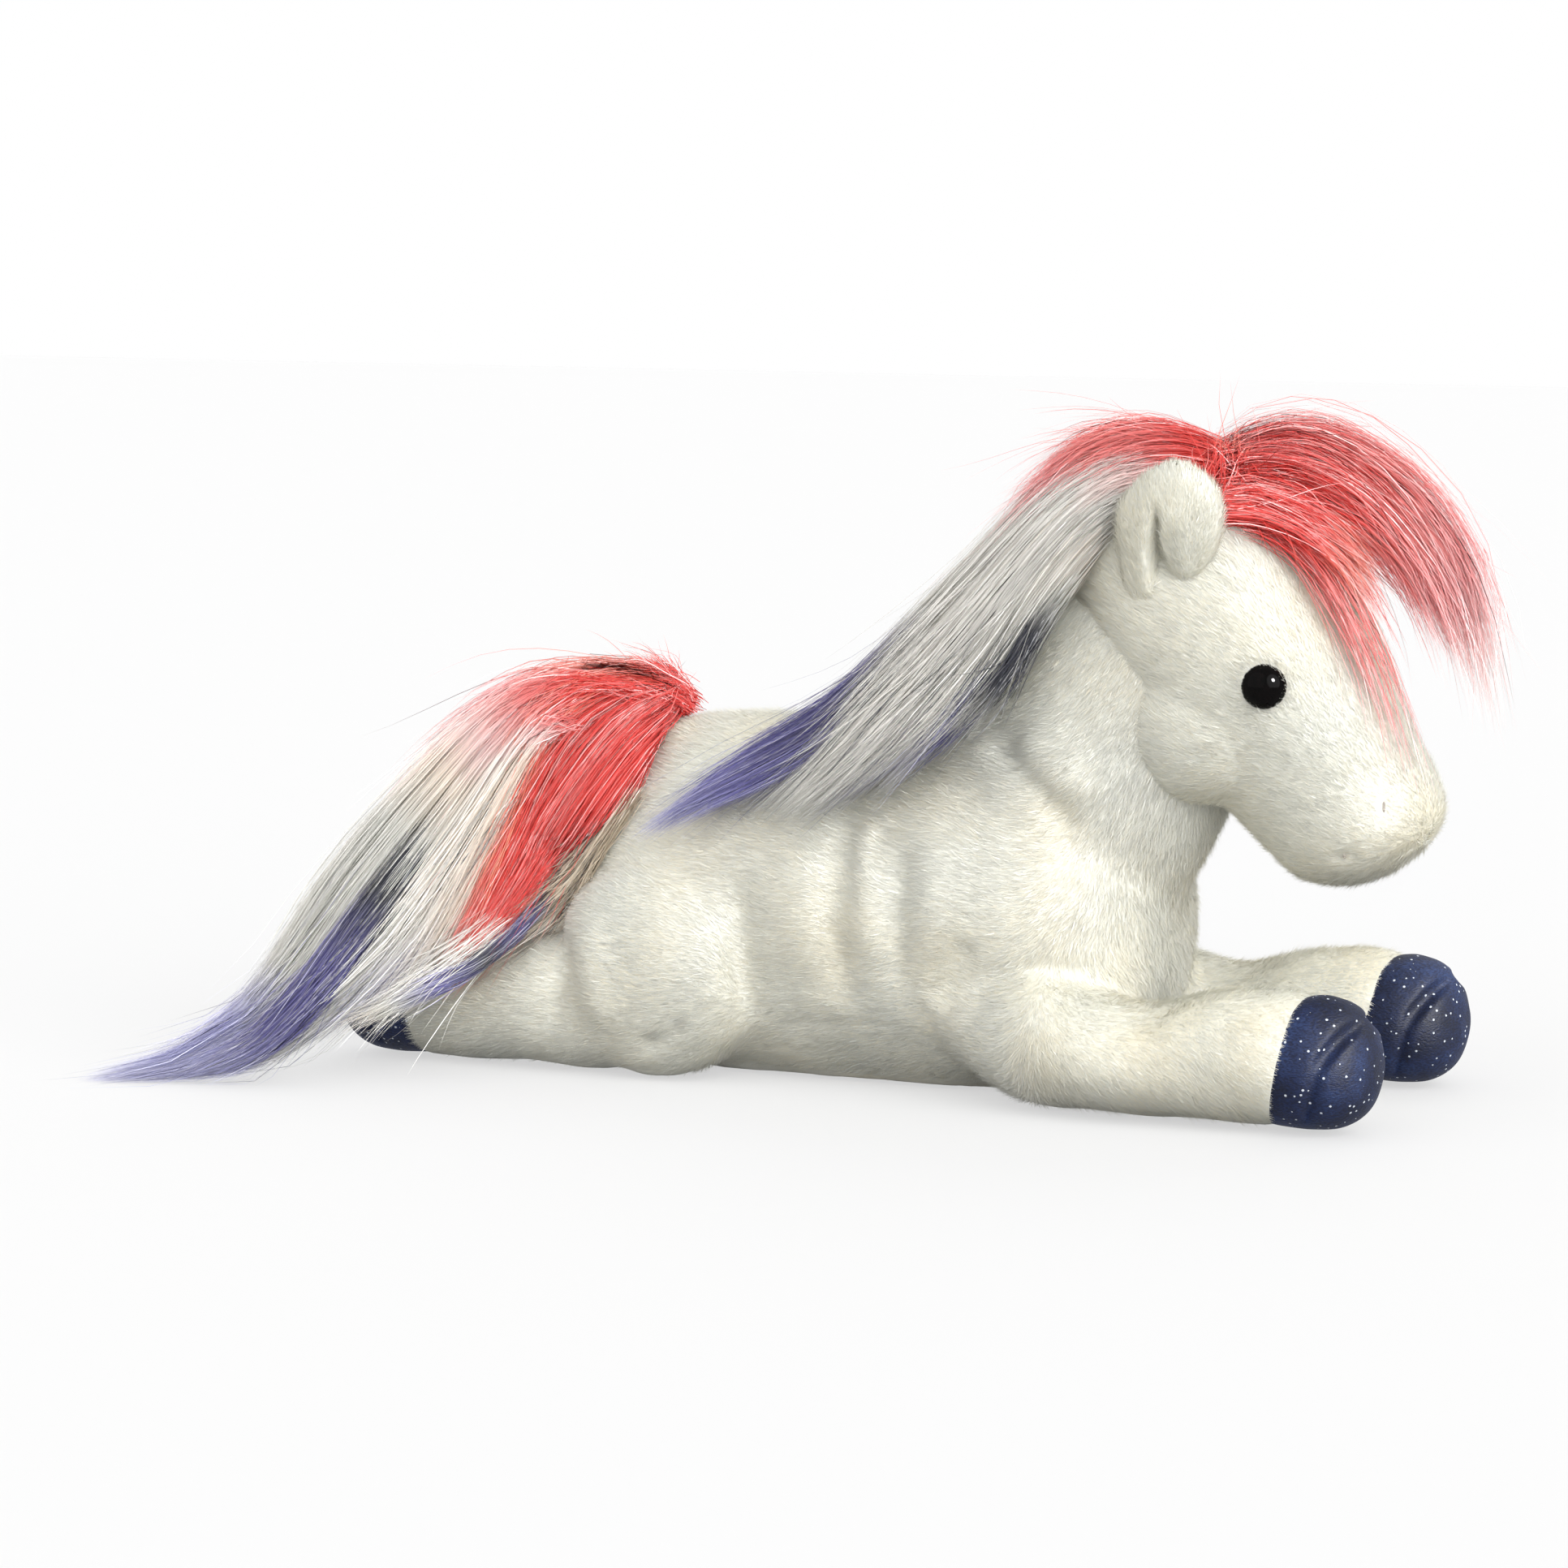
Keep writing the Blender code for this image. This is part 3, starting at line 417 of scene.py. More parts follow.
def waves(points, scale, seed):
    """Smooth noise between -1 and 1 at points, from a few crossed waves."""
    random = np.random.default_rng(seed)
    total = np.zeros(len(points))
    for _ in range(7):
        direction = unit(random.normal(size=3))
        pitch = scale * (0.6 + 0.9 * random.random())
        total += np.sin(points @ direction * (2.0 * math.pi / pitch) + random.random() * 6.28)
    return total / 7.0 * 1.6


def make_lumpy(piece, *lumps):
    """Push a skin in and out softly; each lump is a size, a seed and a height."""
    points = points_of(piece.data)
    push = sum(waves(points, size * mm, seed) * height * mm for size, seed, height in lumps)
    set_points(piece.data, points + normals_of(piece.data) * push[:, None])


def tree_of(piece):
    return BVHTree.FromPolygons(points_of(piece.data).tolist(), triangles_of(piece.data).tolist())


def on_skin(tree, pixels):
    """Where the photograph's pixels fall on a skin."""
    hits = [tree.ray_cast(EYE, sight(px, py).normalized())[0] for px, py in pixels]
    return [place for place in hits if place is not None]


def press_both(piece, tree, pixels, width, depth, far_share=1.0):
    """Press a fold where the photograph shows it, and its mirror image on the far side."""
    path = on_skin(tree, pixels)
    press(piece, path, width, depth)
    press(piece, [mirror_place(point, -1.0) for point in path], width, depth * far_share)


def rest_on_floor(piece, gap):
    """Flatten what would go under the floor."""
    points = points_of(piece.data)
    points[:, 2] = np.maximum(points[:, 2], gap * mm)
    set_points(piece.data, points)
    piece.data.shade_smooth()


# Folds of the near side: pixels of the photograph, width and depth in millimetres
BODY_FOLDS = (
    (
        ((1050, 985), (1038, 1041), (1031, 1100), (1030, 1150), (1036, 1195), (1050, 1232), (1064, 1256)),
        5.4, 2.7,
    ),
    (((1046, 1000), (1036, 1050), (1030, 1120), (1033, 1185), (1048, 1228)), 2, 0.7),
    (((1104, 1000), (1113, 1065), (1110, 1118), (1112, 1185), (1121, 1233), (1134, 1264)), 5.4, 2.5),
    (((1112, 1040), (1110, 1118), (1112, 1185), (1121, 1233)), 2, 0.6),
    (((1092, 1010), (1084, 1045), (1076, 1085)), 3, 1.3),
    (((902, 1066), (912, 1112), (917, 1156), (921, 1204), (928, 1252)), 5.2, 2.4),
    (((910, 1105), (917, 1156), (921, 1204), (928, 1246)), 2, 0.6),
    (((940, 1259), (1000, 1261), (1060, 1263), (1120, 1264)), 1.5, 0.45),
    (((1218, 890), (1245, 932), (1268, 958), (1300, 990), (1338, 1032)), 4.6, 2.8),
    (((1152, 1238), (1170, 1208), (1190, 1182), (1207, 1155)), 4, 1.8),
    (((850, 1252), (826, 1275), (790, 1296)), 3, 1.6),
    (((704, 1110), (693, 1180), (684, 1240), (676, 1290)), 5, 2.6),
    (((1192, 1236), (1216, 1212), (1243, 1199), (1290, 1191), (1360, 1188)), 2.8, 1),
)
BODY_RIDGES = (
    (((1074, 1000), (1069, 1060), (1068, 1120), (1074, 1200)), 5.5, 1.6),
    (((1152, 1030), (1148, 1100), (1150, 1180)), 8, 1.4),
    (((734, 1120), (738, 1209), (748, 1275)), 5.5, 2.2),
    (((878, 1110), (888, 1190), (896, 1262)), 9, 1.6),
    (((985, 1040), (982, 1120), (990, 1210)), 11, 1.2),
    (((1150, 1262), (1176, 1258), (1204, 1262)), 6.5, 1.8),
    (((1252, 900), (1292, 945), (1345, 1000)), 9, 1.6),
)
MOUTH_FOLD = ((1640, 1052), (1657, 1056), (1680, 1052))


def make_plush():
    """Body, neck, haunches and legs as one fused skin with its folds."""
    shapes = [body_form(), neck_form()]
    for _, side in SIDES:
        shapes.append(ball_form(mirror_place(HAUNCH_CENTRE, side), HAUNCH_RADII))
        shapes.append(lying_form(FORELEG_RINGS, side * FORELEG_START.y))
        shapes.append(lying_form(SHANK_RINGS, side * SHANK_START.y))
    plush = fused("plush", shapes, 1.3)
    relax(plush, 34, 0.6, 0.04)
    relax(plush, 5)
    tree = tree_of(plush)
    for folds, way in ((BODY_RIDGES, -1.0), (BODY_FOLDS, 1.0)):
        for pixels, width, depth in folds:
            press_both(plush, tree, pixels, width, way * depth, 0.85)
    make_lumpy(plush, (34.0, 5, 0.6), (13.0, 9, 0.14))
    relax(plush, 2, 0.3, 0.3)
    rest_on_floor(plush, FLOOR_GAP)
    return plush


# Leg regions of the fused skin: middle height and radius across and up, and from which x
FORELEG_ROOM = (20.0, 24.5, 25.0)
HINDLEG_ROOM = (17.0, 21.5, 25.0)
FORELEG_FROM = 50.0
HINDLEG_FROM = -62.0


def region_labels(points):
    """Which piece each point belongs to: 0 the trunk, 1 to 4 the legs."""
    x, y, z = (points / mm).T
    labels = np.zeros(len(points), int)
    legs = (
        (1, FORELEG_ROOM, FORELEG_START, x > FORELEG_FROM),
        (3, HINDLEG_ROOM, SHANK_START, x < HINDLEG_FROM),
    )
    for index, (_, side) in enumerate(SIDES):
        for label, (height, wide, tall), start, beyond in legs:
            near = ((y - side * start.y) / wide) ** 2 + ((z - height) / tall) ** 2 < 1.0
            labels[near & beyond] = label + index
    return labels


def pieces_of(whole, names):
    """Split a skin by region into closed pieces, each capped inside and shaded as a whole."""
    mesh = whole.data
    points = points_of(mesh)
    quads = numbers_of(mesh.loops, "vertex_index", 1, np.int64).reshape(-1, 4)
    labels = region_labels(points)[quads].min(axis=1)
    shared = normals_of(mesh)
    pieces = []
    for label, name in enumerate(names):
        used, local = np.unique(quads[labels == label], return_inverse=True)
        faces = local.reshape(-1, 4)
        rim = {}
        for first, second in ((0, 1), (1, 2), (2, 3), (3, 0)):
            for a, b in zip(faces[:, first].tolist(), faces[:, second].tolist()):
                if not rim.pop((b, a), False):
                    rim[(a, b)] = True
        place = points[used]
        middles = []
        caps = []
        for loop in rim_loops(rim):
            centre = len(used) + len(middles)
            middles.append(tuple(place[loop].mean(axis=0)))
            caps += [(b, a, centre) for a, b in zip(loop, loop[1:] + loop[:1])]
        piece = new_piece(name, mesh_from(name, place.tolist() + middles, faces.tolist() + caps))
        piece.data.shade_smooth()
        smooth = shared[used].tolist() + [(0.0, 0.0, 0.0)] * len(middles)
        piece.data.normals_split_custom_set_from_vertices(smooth)
        pieces.append(piece)
    return pieces


def rim_loops(edges):
    """Closed loops of vertices from directed edges."""
    following = {}
    for a, b in edges:
        following.setdefault(a, []).append(b)
    loops = []
    while following:
        here = next(iter(following))
        loop = []
        while here in following:
            loop.append(here)
            ahead = following[here].pop()
            if not following[here]:
                del following[here]
            here = ahead
        loops.append(loop)
    return loops


def make_head():
    """Head and cheeks as one fused skin, with the mouth's fold and hollows for the eyes."""
    cheeks = [ball_form(mirror_place(CHEEK, side), CHEEK_RADII) for _, side in SIDES]
    head = fused("head_plush", [head_form()] + cheeks, 1.1)
    relax(head, 14)
    press_both(head, tree_of(head), MOUTH_FOLD, 2.0, 0.6)
    for _, side in SIDES:
        seat = mirror_place(EYE_SEAT, side) * mm
        press(head, [seat, seat + FORWARD * 0.5 * mm], 8.5, 1.5)
    make_lumpy(head, (26.0, 6, 0.35))
    head.data.shade_smooth()
    return head


def make_ear(word, side):
    """Folded ear: a rolled rim at the back, a slit, and the open lobe in front of it."""
    foot = mirror_place(EAR_FOOT, side)
    way = mirror_place(EAR_LEAN, side).normalized()
    out = LEFT * side
    out = (out - way * out.dot(way)).normalized()
    across = (FORWARD - way * FORWARD.dot(way) - out * FORWARD.dot(out)).normalized()

    def place(row, c, s):
        along, shift, wide, thick = row
        return foot + way * along + across * (shift + wide * c) + out * thick * s
    ear = fused("ear_plush_" + word, [loft(EAR_RINGS, place)], 0.6)
    relax(ear, 3)
    points = points_of(ear.data)
    local = points / mm - np.array(foot)
    along, ahead, rise = (local @ np.array(axis) for axis in (way, across, out))
    beside = ahead - np.interp(along, EAR_SLIT[0], EAR_SLIT[1])
    open_front = smooth_step(along, 27.0, 12.0)
    width = np.where(beside < 0.0, 0.9 + 0.5 * open_front, 1.4 + 1.8 * open_front)
    reach = smooth_step(along, 2.0, 6.5) * smooth_step(along, 34.0, 27.0)
    front = smooth_step(rise, -1.0, 2.5)
    depth = (3.4 + 2.6 * open_front) * np.exp(-(beside / width) ** 2) * reach * front
    hollow = np.exp(-((beside - 3.6) / 4.2) ** 2) * np.where(beside > 0.0, 1.0, 0.0)
    depth += 1.9 * hollow * reach * front * smooth_step(along, 31.0, 20.0)
    set_points(ear.data, points - np.array(out) * (depth * mm)[:, None])
    relax(ear, 3, 0.3, 0.3)
    ear.data.shade_smooth()
    return ear


def hoof_form(seam_x, y, way):
    def place(row, c, s):
        along, tall, wide = row
        out = along + seam_lean(max(along, 0.0), s)
        return Vector((seam_x + way * out, y + wide * c, FLOOR_GAP + HOOF_HEIGHT + tall * s))
    return loft(HOOF_RINGS, place)


def hoof_seam():
    """The seam seen on the near fore hoof, from that hoof's own middle in millimetres."""
    y = -FORELEG_START.y
    hoof = fused("hoof_seam_guide", [hoof_form(FORE_SEAM_X, y, 1.0)], 0.7)
    path = [point / mm - Vector((FORE_SEAM_X, y, 0.0)) for point in on_skin(tree_of(hoof), HOOF_SEAM_PIXELS)]
    bpy.data.objects.remove(hoof)
    return path


def make_hoof(name, seam_x, y, way):
    """Velour cap, pinched by the seam of its sole on both sides of the toe."""
    hoof = fused(name, [hoof_form(seam_x, y, way)], 0.5)
    relax(hoof, 3)
    for side in (-1.0, 1.0):
        path = [Vector((seam_x + way * p.x, y - side * p.y, p.z)) * mm for p in HOOF_SEAM]
        press(hoof, path[:6], 1.7, 2.2, 0.3)
        press(hoof, path, 1.9, 1.0, 0.2)
        press(hoof, path, 0.8, 0.9, 0.1)
    sole = Vector((seam_x + way * 20.0, y, 14.0)) * mm
    press(hoof, [sole, sole + UP * 3.0 * mm], 9.0, -1.2, 0.0)
    rest_on_floor(hoof, 0.5)
    return hoof


HOOF_SEAM = hoof_seam()


def turned(name, profile, place, axis):
    """Turned piece: profile rows are distance along the axis and radius."""
    rows = [[(radius * c, radius * s, height) for c, s in circle(EYE_AROUND)] for height, radius in profile]
    shape = closed_form(rows)
    turn = axis.normalized().to_track_quat("Z", "Y").to_matrix().to_4x4()
    shape.transform(Matrix.Translation(place * mm) @ turn @ Matrix.Scale(mm, 4))
    piece = piece_from(name, shape)
    piece.data.shade_smooth()
    return piece


def make_eye(word, side):
    """Glossy dome with a thin rim, on its stem."""
    profile = [(-12.0, 1.5), (-1.6, 1.6), (-1.5, 5.2), (-0.7, EYE_RADIUS - 0.1), (0.0, EYE_RADIUS)]
    for step in range(1, 20):
        angle = math.pi / 2.0 * step / 20.0
        profile.append((EYE_DOME * math.sin(angle), EYE_RADIUS * math.cos(angle)))
    profile.append((EYE_DOME, 0.12))
    return turned("eye_dome_" + word, profile, mirror_place(EYE_SEAT, side), mirror_place(EYE_OUT, side))


# Strands

def unit(vectors):
    return vectors / np.maximum(np.linalg.norm(vectors, axis=-1, keepdims=True), 1e-9)


def ribbons(name, spines, widths, across, tint, shading, along=None):
    """Tapered flat strands, shaded by given normals. Their map holds a tint and the place along each."""
    count, steps, _ = spines.shape
    half = (across * widths[:, :, None] / 2.0)[:, :-1]
    body = np.stack((spines[:, :-1] - half, spines[:, :-1] + half), axis=2).reshape(count, -1, 3)
    points = np.concatenate((body, spines[:, -1:]), axis=1)
    per = points.shape[1]
    base = (np.arange(count) * per)[:, None]
    quads = []
    for step in range(steps - 2):
        quads += [2 * step, 2 * step + 1, 2 * step + 3, 2 * step + 2]
    corners = np.array(quads + [2 * steps - 4, 2 * steps - 3, 2 * steps - 2])
    loops = (base + corners).ravel()
    totals = np.tile(np.array([4] * (steps - 2) + [3]), count)
    starts = np.concatenate(([0], np.cumsum(totals)[:-1]))
    mesh = bpy.data.meshes.new(name)
    mesh.vertices.add(count * per)
    mesh.vertices.foreach_set("co", points.ravel())
    mesh.loops.add(len(loops))
    mesh.loops.foreach_set("vertex_index", loops.astype(np.int32))
    mesh.polygons.add(len(totals))
    mesh.polygons.foreach_set("loop_start", starts.astype(np.int32))
    mesh.polygons.foreach_set("use_smooth", np.ones(len(totals), bool))
    mesh.update(calc_edges=True)
    if along is None:
        along = np.broadcast_to(np.linspace(0.0, 1.0, steps), (count, steps))
    level = np.concatenate((np.repeat(along[:, :-1], 2, axis=1), along[:, -1:]), axis=1)
    edge = np.concatenate((np.tile([-0.5, 0.5], steps - 1), [0.0]))
    u = np.clip(tint[:, None] + edge[None, corners] * 0.0012, 0.001, 0.999)
    v = np.clip(level[:, corners], 0.002, 0.998)
    layer = mesh.uv_layers.new(name="OFBake")
    layer.uv.foreach_set("vector", np.stack((u, v), axis=2).ravel())
    layer = mesh.attributes.new("custom_normal", "FLOAT_VECTOR", "POINT")
    layer.data.foreach_set("vector", np.repeat(shading[:, None], per, axis=1).ravel())
    return new_piece(name, mesh)


def scattered(mesh, density, random):
    """Random places on a skin, so many to a square millimetre, and its smooth normals there."""
    points = points_of(mesh)
    normals = normals_of(mesh)
    triangles = triangles_of(mesh)
    a, b, c = (points[triangles[:, index]] for index in range(3))
    area = np.linalg.norm(np.cross(b - a, c - a), axis=1)
    count = int(area.sum() / 2.0 / mm ** 2 * density)
    # Three draws are passed over before the places are drawn
    random.choice(len(triangles), 1, p=area / area.sum())
    random.random(2)
    pick = random.choice(len(triangles), count, p=area / area.sum())
    r = np.sqrt(random.random(count))
    s = random.random(count)
    weights = np.stack((1.0 - r, r * (1.0 - s), r * s), axis=1)[:, :, None]
    corners = triangles[pick]
    return (points[corners] * weights).sum(axis=1), unit((normals[corners] * weights).sum(axis=1))


def inside(tree, points, margin):
    """Which points are deeper than a margin inside a skin."""
    hidden = np.zeros(len(points), bool)
    for index, point in enumerate(points.tolist()):
        place, normal, _, far = tree.find_nearest(point)
        hidden[index] = normal.dot(Vector(point) - place) < 0.0 and far > margin
    return hidden


def in_box_of(piece, points):
    """Which points lie in a piece's box."""
    co = points_of(piece.data)
    return ((points > co.min(axis=0)) & (points < co.max(axis=0))).all(axis=1)


def far_from(points, centre, side, stretch=(1.0, 1.0, 1.0)):
    """Distance in millimetres of points from a place on one side."""
    away = points - np.array(mirror_place(centre, side)) * mm
    return np.linalg.norm(away * np.array(stretch), axis=1) / mm


def short_near(far, radius, share):
    """Length factor that falls to a share within a radius."""
    return share + (1.0 - share) * smooth_step(far, radius, radius * 2.0)


def pile_trim(points):
    """Pile is longer round the eyes, and shorter on the muzzle and where it meets the hooves."""
    factor = np.ones(len(points))
    for _, side in SIDES:
        factor *= short_near(far_from(points, EYE_SEAT, side), 7.0, 1.1)
        factor *= short_near(far_from(points, NOSTRIL, side), 5.0, 0.6)
    x = points[:, 0] / mm
    low = points[:, 2] / mm < HOOF_TOP
    fore = 0.75 + 0.25 * smooth_step(FORE_SEAM_X + 2.0 - x, 2.0, 10.0)
    hind = 0.75 + 0.25 * smooth_step(x - HIND_SEAM_X + 2.0, 2.0, 10.0)
    return factor * np.where(low, fore * hind, 1.0)


def near_eyes(points):
    """1 beside an eye's rim, falling to 0 a few millimetres away."""
    near = [smooth_step(far_from(points, EYE_SEAT, side), 9.5, 6.5) for _, side in SIDES]
    return np.maximum(near[0], near[1])


def bare_places(points):
    """Where no pile grows: under the eyes, on the nostril stitches, at the hooves."""
    bare = np.zeros(len(points), bool)
    for _, side in SIDES:
        bare |= far_from(points, EYE_SEAT, side) < 5.2
        bare |= far_from(points, NOSTRIL, side, (1.0, 1.0, 0.45)) < NOSTRIL_ROOM
    low = points[:, 2] < HOOF_TOP * mm
    lean = (SEAM_OUT - SEAM_LEAN) * mm + points[:, 2] * (SEAM_LEAN / HOOF_HEIGHT)
    bare |= low & (points[:, 0] > FORE_SEAM_X * mm + lean)
    bare |= low & (points[:, 0] < HIND_SEAM_X * mm - lean)
    return bare


PILE_DENSITY = 8.0
PILE_WIDTH = 0.22
PILE_STAND = 0.34


def make_pile(names, skin, comb, length, seed, hidden_by, sorts=None):
    """Short pile on a skin, laid along comb(points) and standing a little.

    None grows inside the skin that it is hidden by. sorts(points) tells which of the named
    pieces each strand belongs to.
    """
    random = np.random.default_rng(seed)
    place, normal = scattered(skin.data, PILE_DENSITY, random)
    keep = ~((normal[:, 2] < -0.75) & (place[:, 2] < 3.0 * mm))
    keep &= ~bare_places(place)
    rows = np.nonzero(keep & in_box_of(hidden_by, place))[0]
    keep[rows] = ~inside(tree_of(hidden_by), place[rows], 0.5 * mm)
    place, normal = place[keep], normal[keep]
    count = len(place)
    way = comb(place)
    tuft = waves(place, 4.0 * mm, seed + 4)[:, None]
    turn = waves(place, 26.0 * mm, seed + 1)[:, None] * 0.20 + tuft * 0.10
    turn = turn + random.normal(0.0, 0.24, (count, 1))
    way = unit(way - normal * (way * normal).sum(axis=1, keepdims=True))
    way = unit(way + np.cross(normal, way) * turn)
    rise = PILE_STAND * (1.0 + 0.3 * waves(place, 6.0 * mm, seed + 2))
    rise = rise * (0.4 + 2.2 * random.random(count) ** 2) + 1.1 * near_eyes(place)
    reach = length * mm * random.uniform(0.65, 1.4, count) * pile_trim(place)
    root = place - normal * 0.15 * mm
    end = root + unit(way + normal * rise[:, None]) * reach[:, None]
    spines = np.stack((root, end), axis=1)
    spines[:, :, 2] = np.maximum(spines[:, :, 2], 0.15 * mm)
    roll = random.normal(0.0, 0.3, (count, 1))
    across = unit(np.cross(way, normal) + normal * roll)
    shading = unit(normal + way * tuft * 0.05 + random.normal(0.0, 0.2, (count, 3)))
    across = np.repeat(across[:, None], 2, axis=1)
    widths = PILE_WIDTH * mm * random.uniform(0.6, 1.4, (count, 1)) * np.array([1.0, 0.0])
    shade = 0.5 + 0.22 * waves(place, 38.0 * mm, seed + 3)
    shade = np.clip(shade + random.normal(0.0, 0.16, count), 0.01, 0.99)
    sort = sorts(place) if sorts else np.zeros(count, int)
    pieces = []
    for index, name in enumerate(names):
        own = sort == index
        pieces.append(ribbons(name, spines[own], widths[own], across[own], shade[own], shading[own]))
    return pieces


def comb_body(points):
    """Pile runs back on the trunk, down on the chest and neck, forward on the forelegs."""
    x, y, z = (points / mm).T
    way = np.tile(np.array([-1.0, 0.0, 0.22]), (len(points), 1))
    chest = np.maximum(smooth_step(x, 45.0, 90.0), smooth_step(z, 88.0, 118.0))[:, None]
    way = way * (1.0 - chest) + np.array([-0.45, 0.0, -1.0]) * chest
    leg = (smooth_step(x, 48.0, 92.0) * smooth_step(50.0 - z, -4.0, 16.0))[:, None]
    way = way * (1.0 - leg) + np.array([1.0, 0.0, -0.45]) * leg
    way[:, 1] = np.sign(y) * 0.12
    return way


def sort_of_body(points):
    """Trunk in four quarters, then the legs in the order of their regions."""
    labels = region_labels(points)
    quarter = (points[:, 0] < 0.0) * 2 + (points[:, 1] > 0.0)
    return np.where(labels == 0, quarter, labels + 3)


def comb_head(points):
    """Pile of the head: from the muzzle back to the neck."""
    return np.tile(np.array(-HEAD_AXIS) + np.array([-0.1, 0.0, -0.25]), (len(points), 1))


def comb_ear(points):
    return np.tile(np.array([0.05, 0.0, 1.0]), (len(points), 1))


def tail_plane(px, py):
    """Plane y of the tail's sheet, which swings out as it falls back."""
    return float(np.interp(py - px, TAIL_SWING[0], TAIL_SWING[1]))


def curves_of(guides, skin, ahead, nearer):
    """Guides as even curves in metres, kept ahead of a skin."""
    curves = []
    for guide in guides:
        path = []
        for row in guide:
            px, py = row[:2]
            place = seen(px, py, (row[2] if len(row) > 2 else tail_plane(px, py)) - nearer)
            way = sight(px, py).normalized()
            hit = skin.ray_cast(EYE, way)[0] if skin else None
            if hit is not None and (hit - EYE).length < (place - EYE).length + ahead * mm:
                place = hit - way * ahead * mm
            path.append(tuple(place))
        curves.append(resampled(path, CURVE_POINTS))
    return np.array(curves)


def kept_outside(tree, spines):
    """Lift the points of strands that would go under a skin."""
    flat = spines.reshape(-1, 3)
    for row in range(len(flat)):
        place, normal, _, far = tree.find_nearest(flat[row])
        if normal.dot(Vector(flat[row]) - place) < HAIR_GAP * mm and far < 30.0 * mm:
            flat[row] = place + normal * HAIR_GAP * mm * (1.0 + 0.8 * abs(math.sin(row * 12.9898)))
    return flat.reshape(spines.shape)


# Long hair: its gap to the skin, points along a guide, width, and the side that its shading faces,
# which is towards the photographer and up
HAIR_GAP = 0.8
CURVE_POINTS = 48
HAIR_WIDTH = 0.19
HAIR_SIDE = np.array((0.25, -0.80, 0.55))


def lock(
    name, guides, count, seed, thick, skin, start=(0.0, 0.08), end=(0.8, 1.0), gather=0.22, frizz=1.0,
    clump=24, steps=10, ahead=2.5, wander=0.07, root=0.8, thin=1.0, nearer=0.0,
):
    """Long strands in clumps, spread between guides and thick out of their sheet."""
    random = np.random.default_rng(seed)
    curves = curves_of(guides, skin, ahead, nearer)
    clumps = max(count // clump, 5)
    own = random.integers(0, clumps, count)
    clump_u = (random.beta(1.15, 1.15, clumps) * 1.1 - 0.05)[own]
    clump_w = np.clip(random.normal(0.0, 0.5, clumps), -1.2, 1.2)[own]
    clump_end = (end[0] + (end[1] - end[0]) * random.random(clumps) ** thin)[own]
    u0 = clump_u + random.normal(0.0, 0.055, count)
    w0 = clump_w + random.normal(0.0, 0.35, count)
    first = random.uniform(start[0], start[1], count)
    last = np.clip(clump_end + random.normal(0.0, 0.05, count), 0.1, 1.0)
    level = np.linspace(0.0, 1.0, steps)[None, :]
    at = first[:, None] + (last - first)[:, None] * level
    loose = 1.0 - gather * level ** 1.4
    u = clump_u[:, None] + (u0 - clump_u)[:, None] * loose
    u = u + random.normal(0.0, wander, (count, 1)) * level
    w = clump_w[:, None] + (w0 - clump_w)[:, None] * loose
    cross = np.clip(u, -0.08, 1.08) * (len(guides) - 1)
    low = np.clip(np.floor(cross).astype(int), 0, len(guides) - 2)
    part = (cross - low)[:, :, None]
    place = at * (CURVE_POINTS - 1.0)
    index = np.minimum(place.astype(int), CURVE_POINTS - 2)
    frac = (place - index)[:, :, None]

    def on(row):
        return curves[row, index] * (1.0 - frac) + curves[row, index + 1] * frac
    spines = on(low) * (1.0 - part) + on(low + 1) * part
    along = unit(np.gradient(spines, axis=1))
    broad = unit(curves[-1].mean(axis=0) - curves[0].mean(axis=0))
    normal = unit(np.cross(along, broad[None, None, :]))
    body = 0.35 + 0.65 * np.sin(np.clip(at * 0.95 + 0.1, 0.0, 1.0) * math.pi) ** 0.7
    body *= 1.0 - 0.6 * smooth_step(at, 0.7, 1.0)
    spines = spines + normal * (w * thick * mm * body)[:, :, None]
    curl = level[:, :, None]
    spines = spines + random.normal(0.0, root * mm, (count, 1, 3)) * (1.0 - curl)
    sway = random.normal(0.0, 1.0, (count, 1, 3)) * mm * 1.5 * frizz
    swing = random.normal(0.0, 1.0, (count, 1, 3)) * mm * 0.8 * frizz
    phase = random.random((count, 1, 1)) * 6.28
    spines = spines + sway * curl ** 1.5 + swing * np.sin(curl * 6.0 + phase) * curl
    stray = random.random((count, 1, 1)) < 0.06
    spines = spines + stray * random.normal(0.0, 4.5, (count, 1, 3)) * mm * frizz * curl ** 1.7
    if skin is not None:
        spines = kept_outside(skin, spines)
    spines[:, :, 2] = np.maximum(spines[:, :, 2], 0.4 * mm)
    run = along.mean(axis=1)
    shading = unit(HAIR_SIDE - run * (run * HAIR_SIDE).sum(axis=1, keepdims=True))
    shading = unit(shading + random.normal(0.0, 0.30, (count, 3)))
    facing = unit(normal + random.normal(0.0, 0.55, (count, 1, 3)))
    facing = facing * np.where((facing.mean(axis=1) * shading).sum(axis=1) < 0.0, -1.0, 1.0)[:, None, None]
    across = unit(np.cross(unit(np.gradient(spines, axis=1)), facing))
    taper = np.array([0.8] + [1.0] * (steps - 4) + [0.8, 0.5, 0.0])
    widths = HAIR_WIDTH * mm * random.uniform(0.6, 1.3, (count, 1)) * taper
    return ribbons(name, spines, widths, across, np.clip(u0, 0.004, 0.996), shading, at)


def in_rows(size, *guides):
    """Guides given as runs of numbers, cut into rows of a size."""
    return [[guide[at:at + size] for at in range(0, len(guide), size)] for guide in guides]


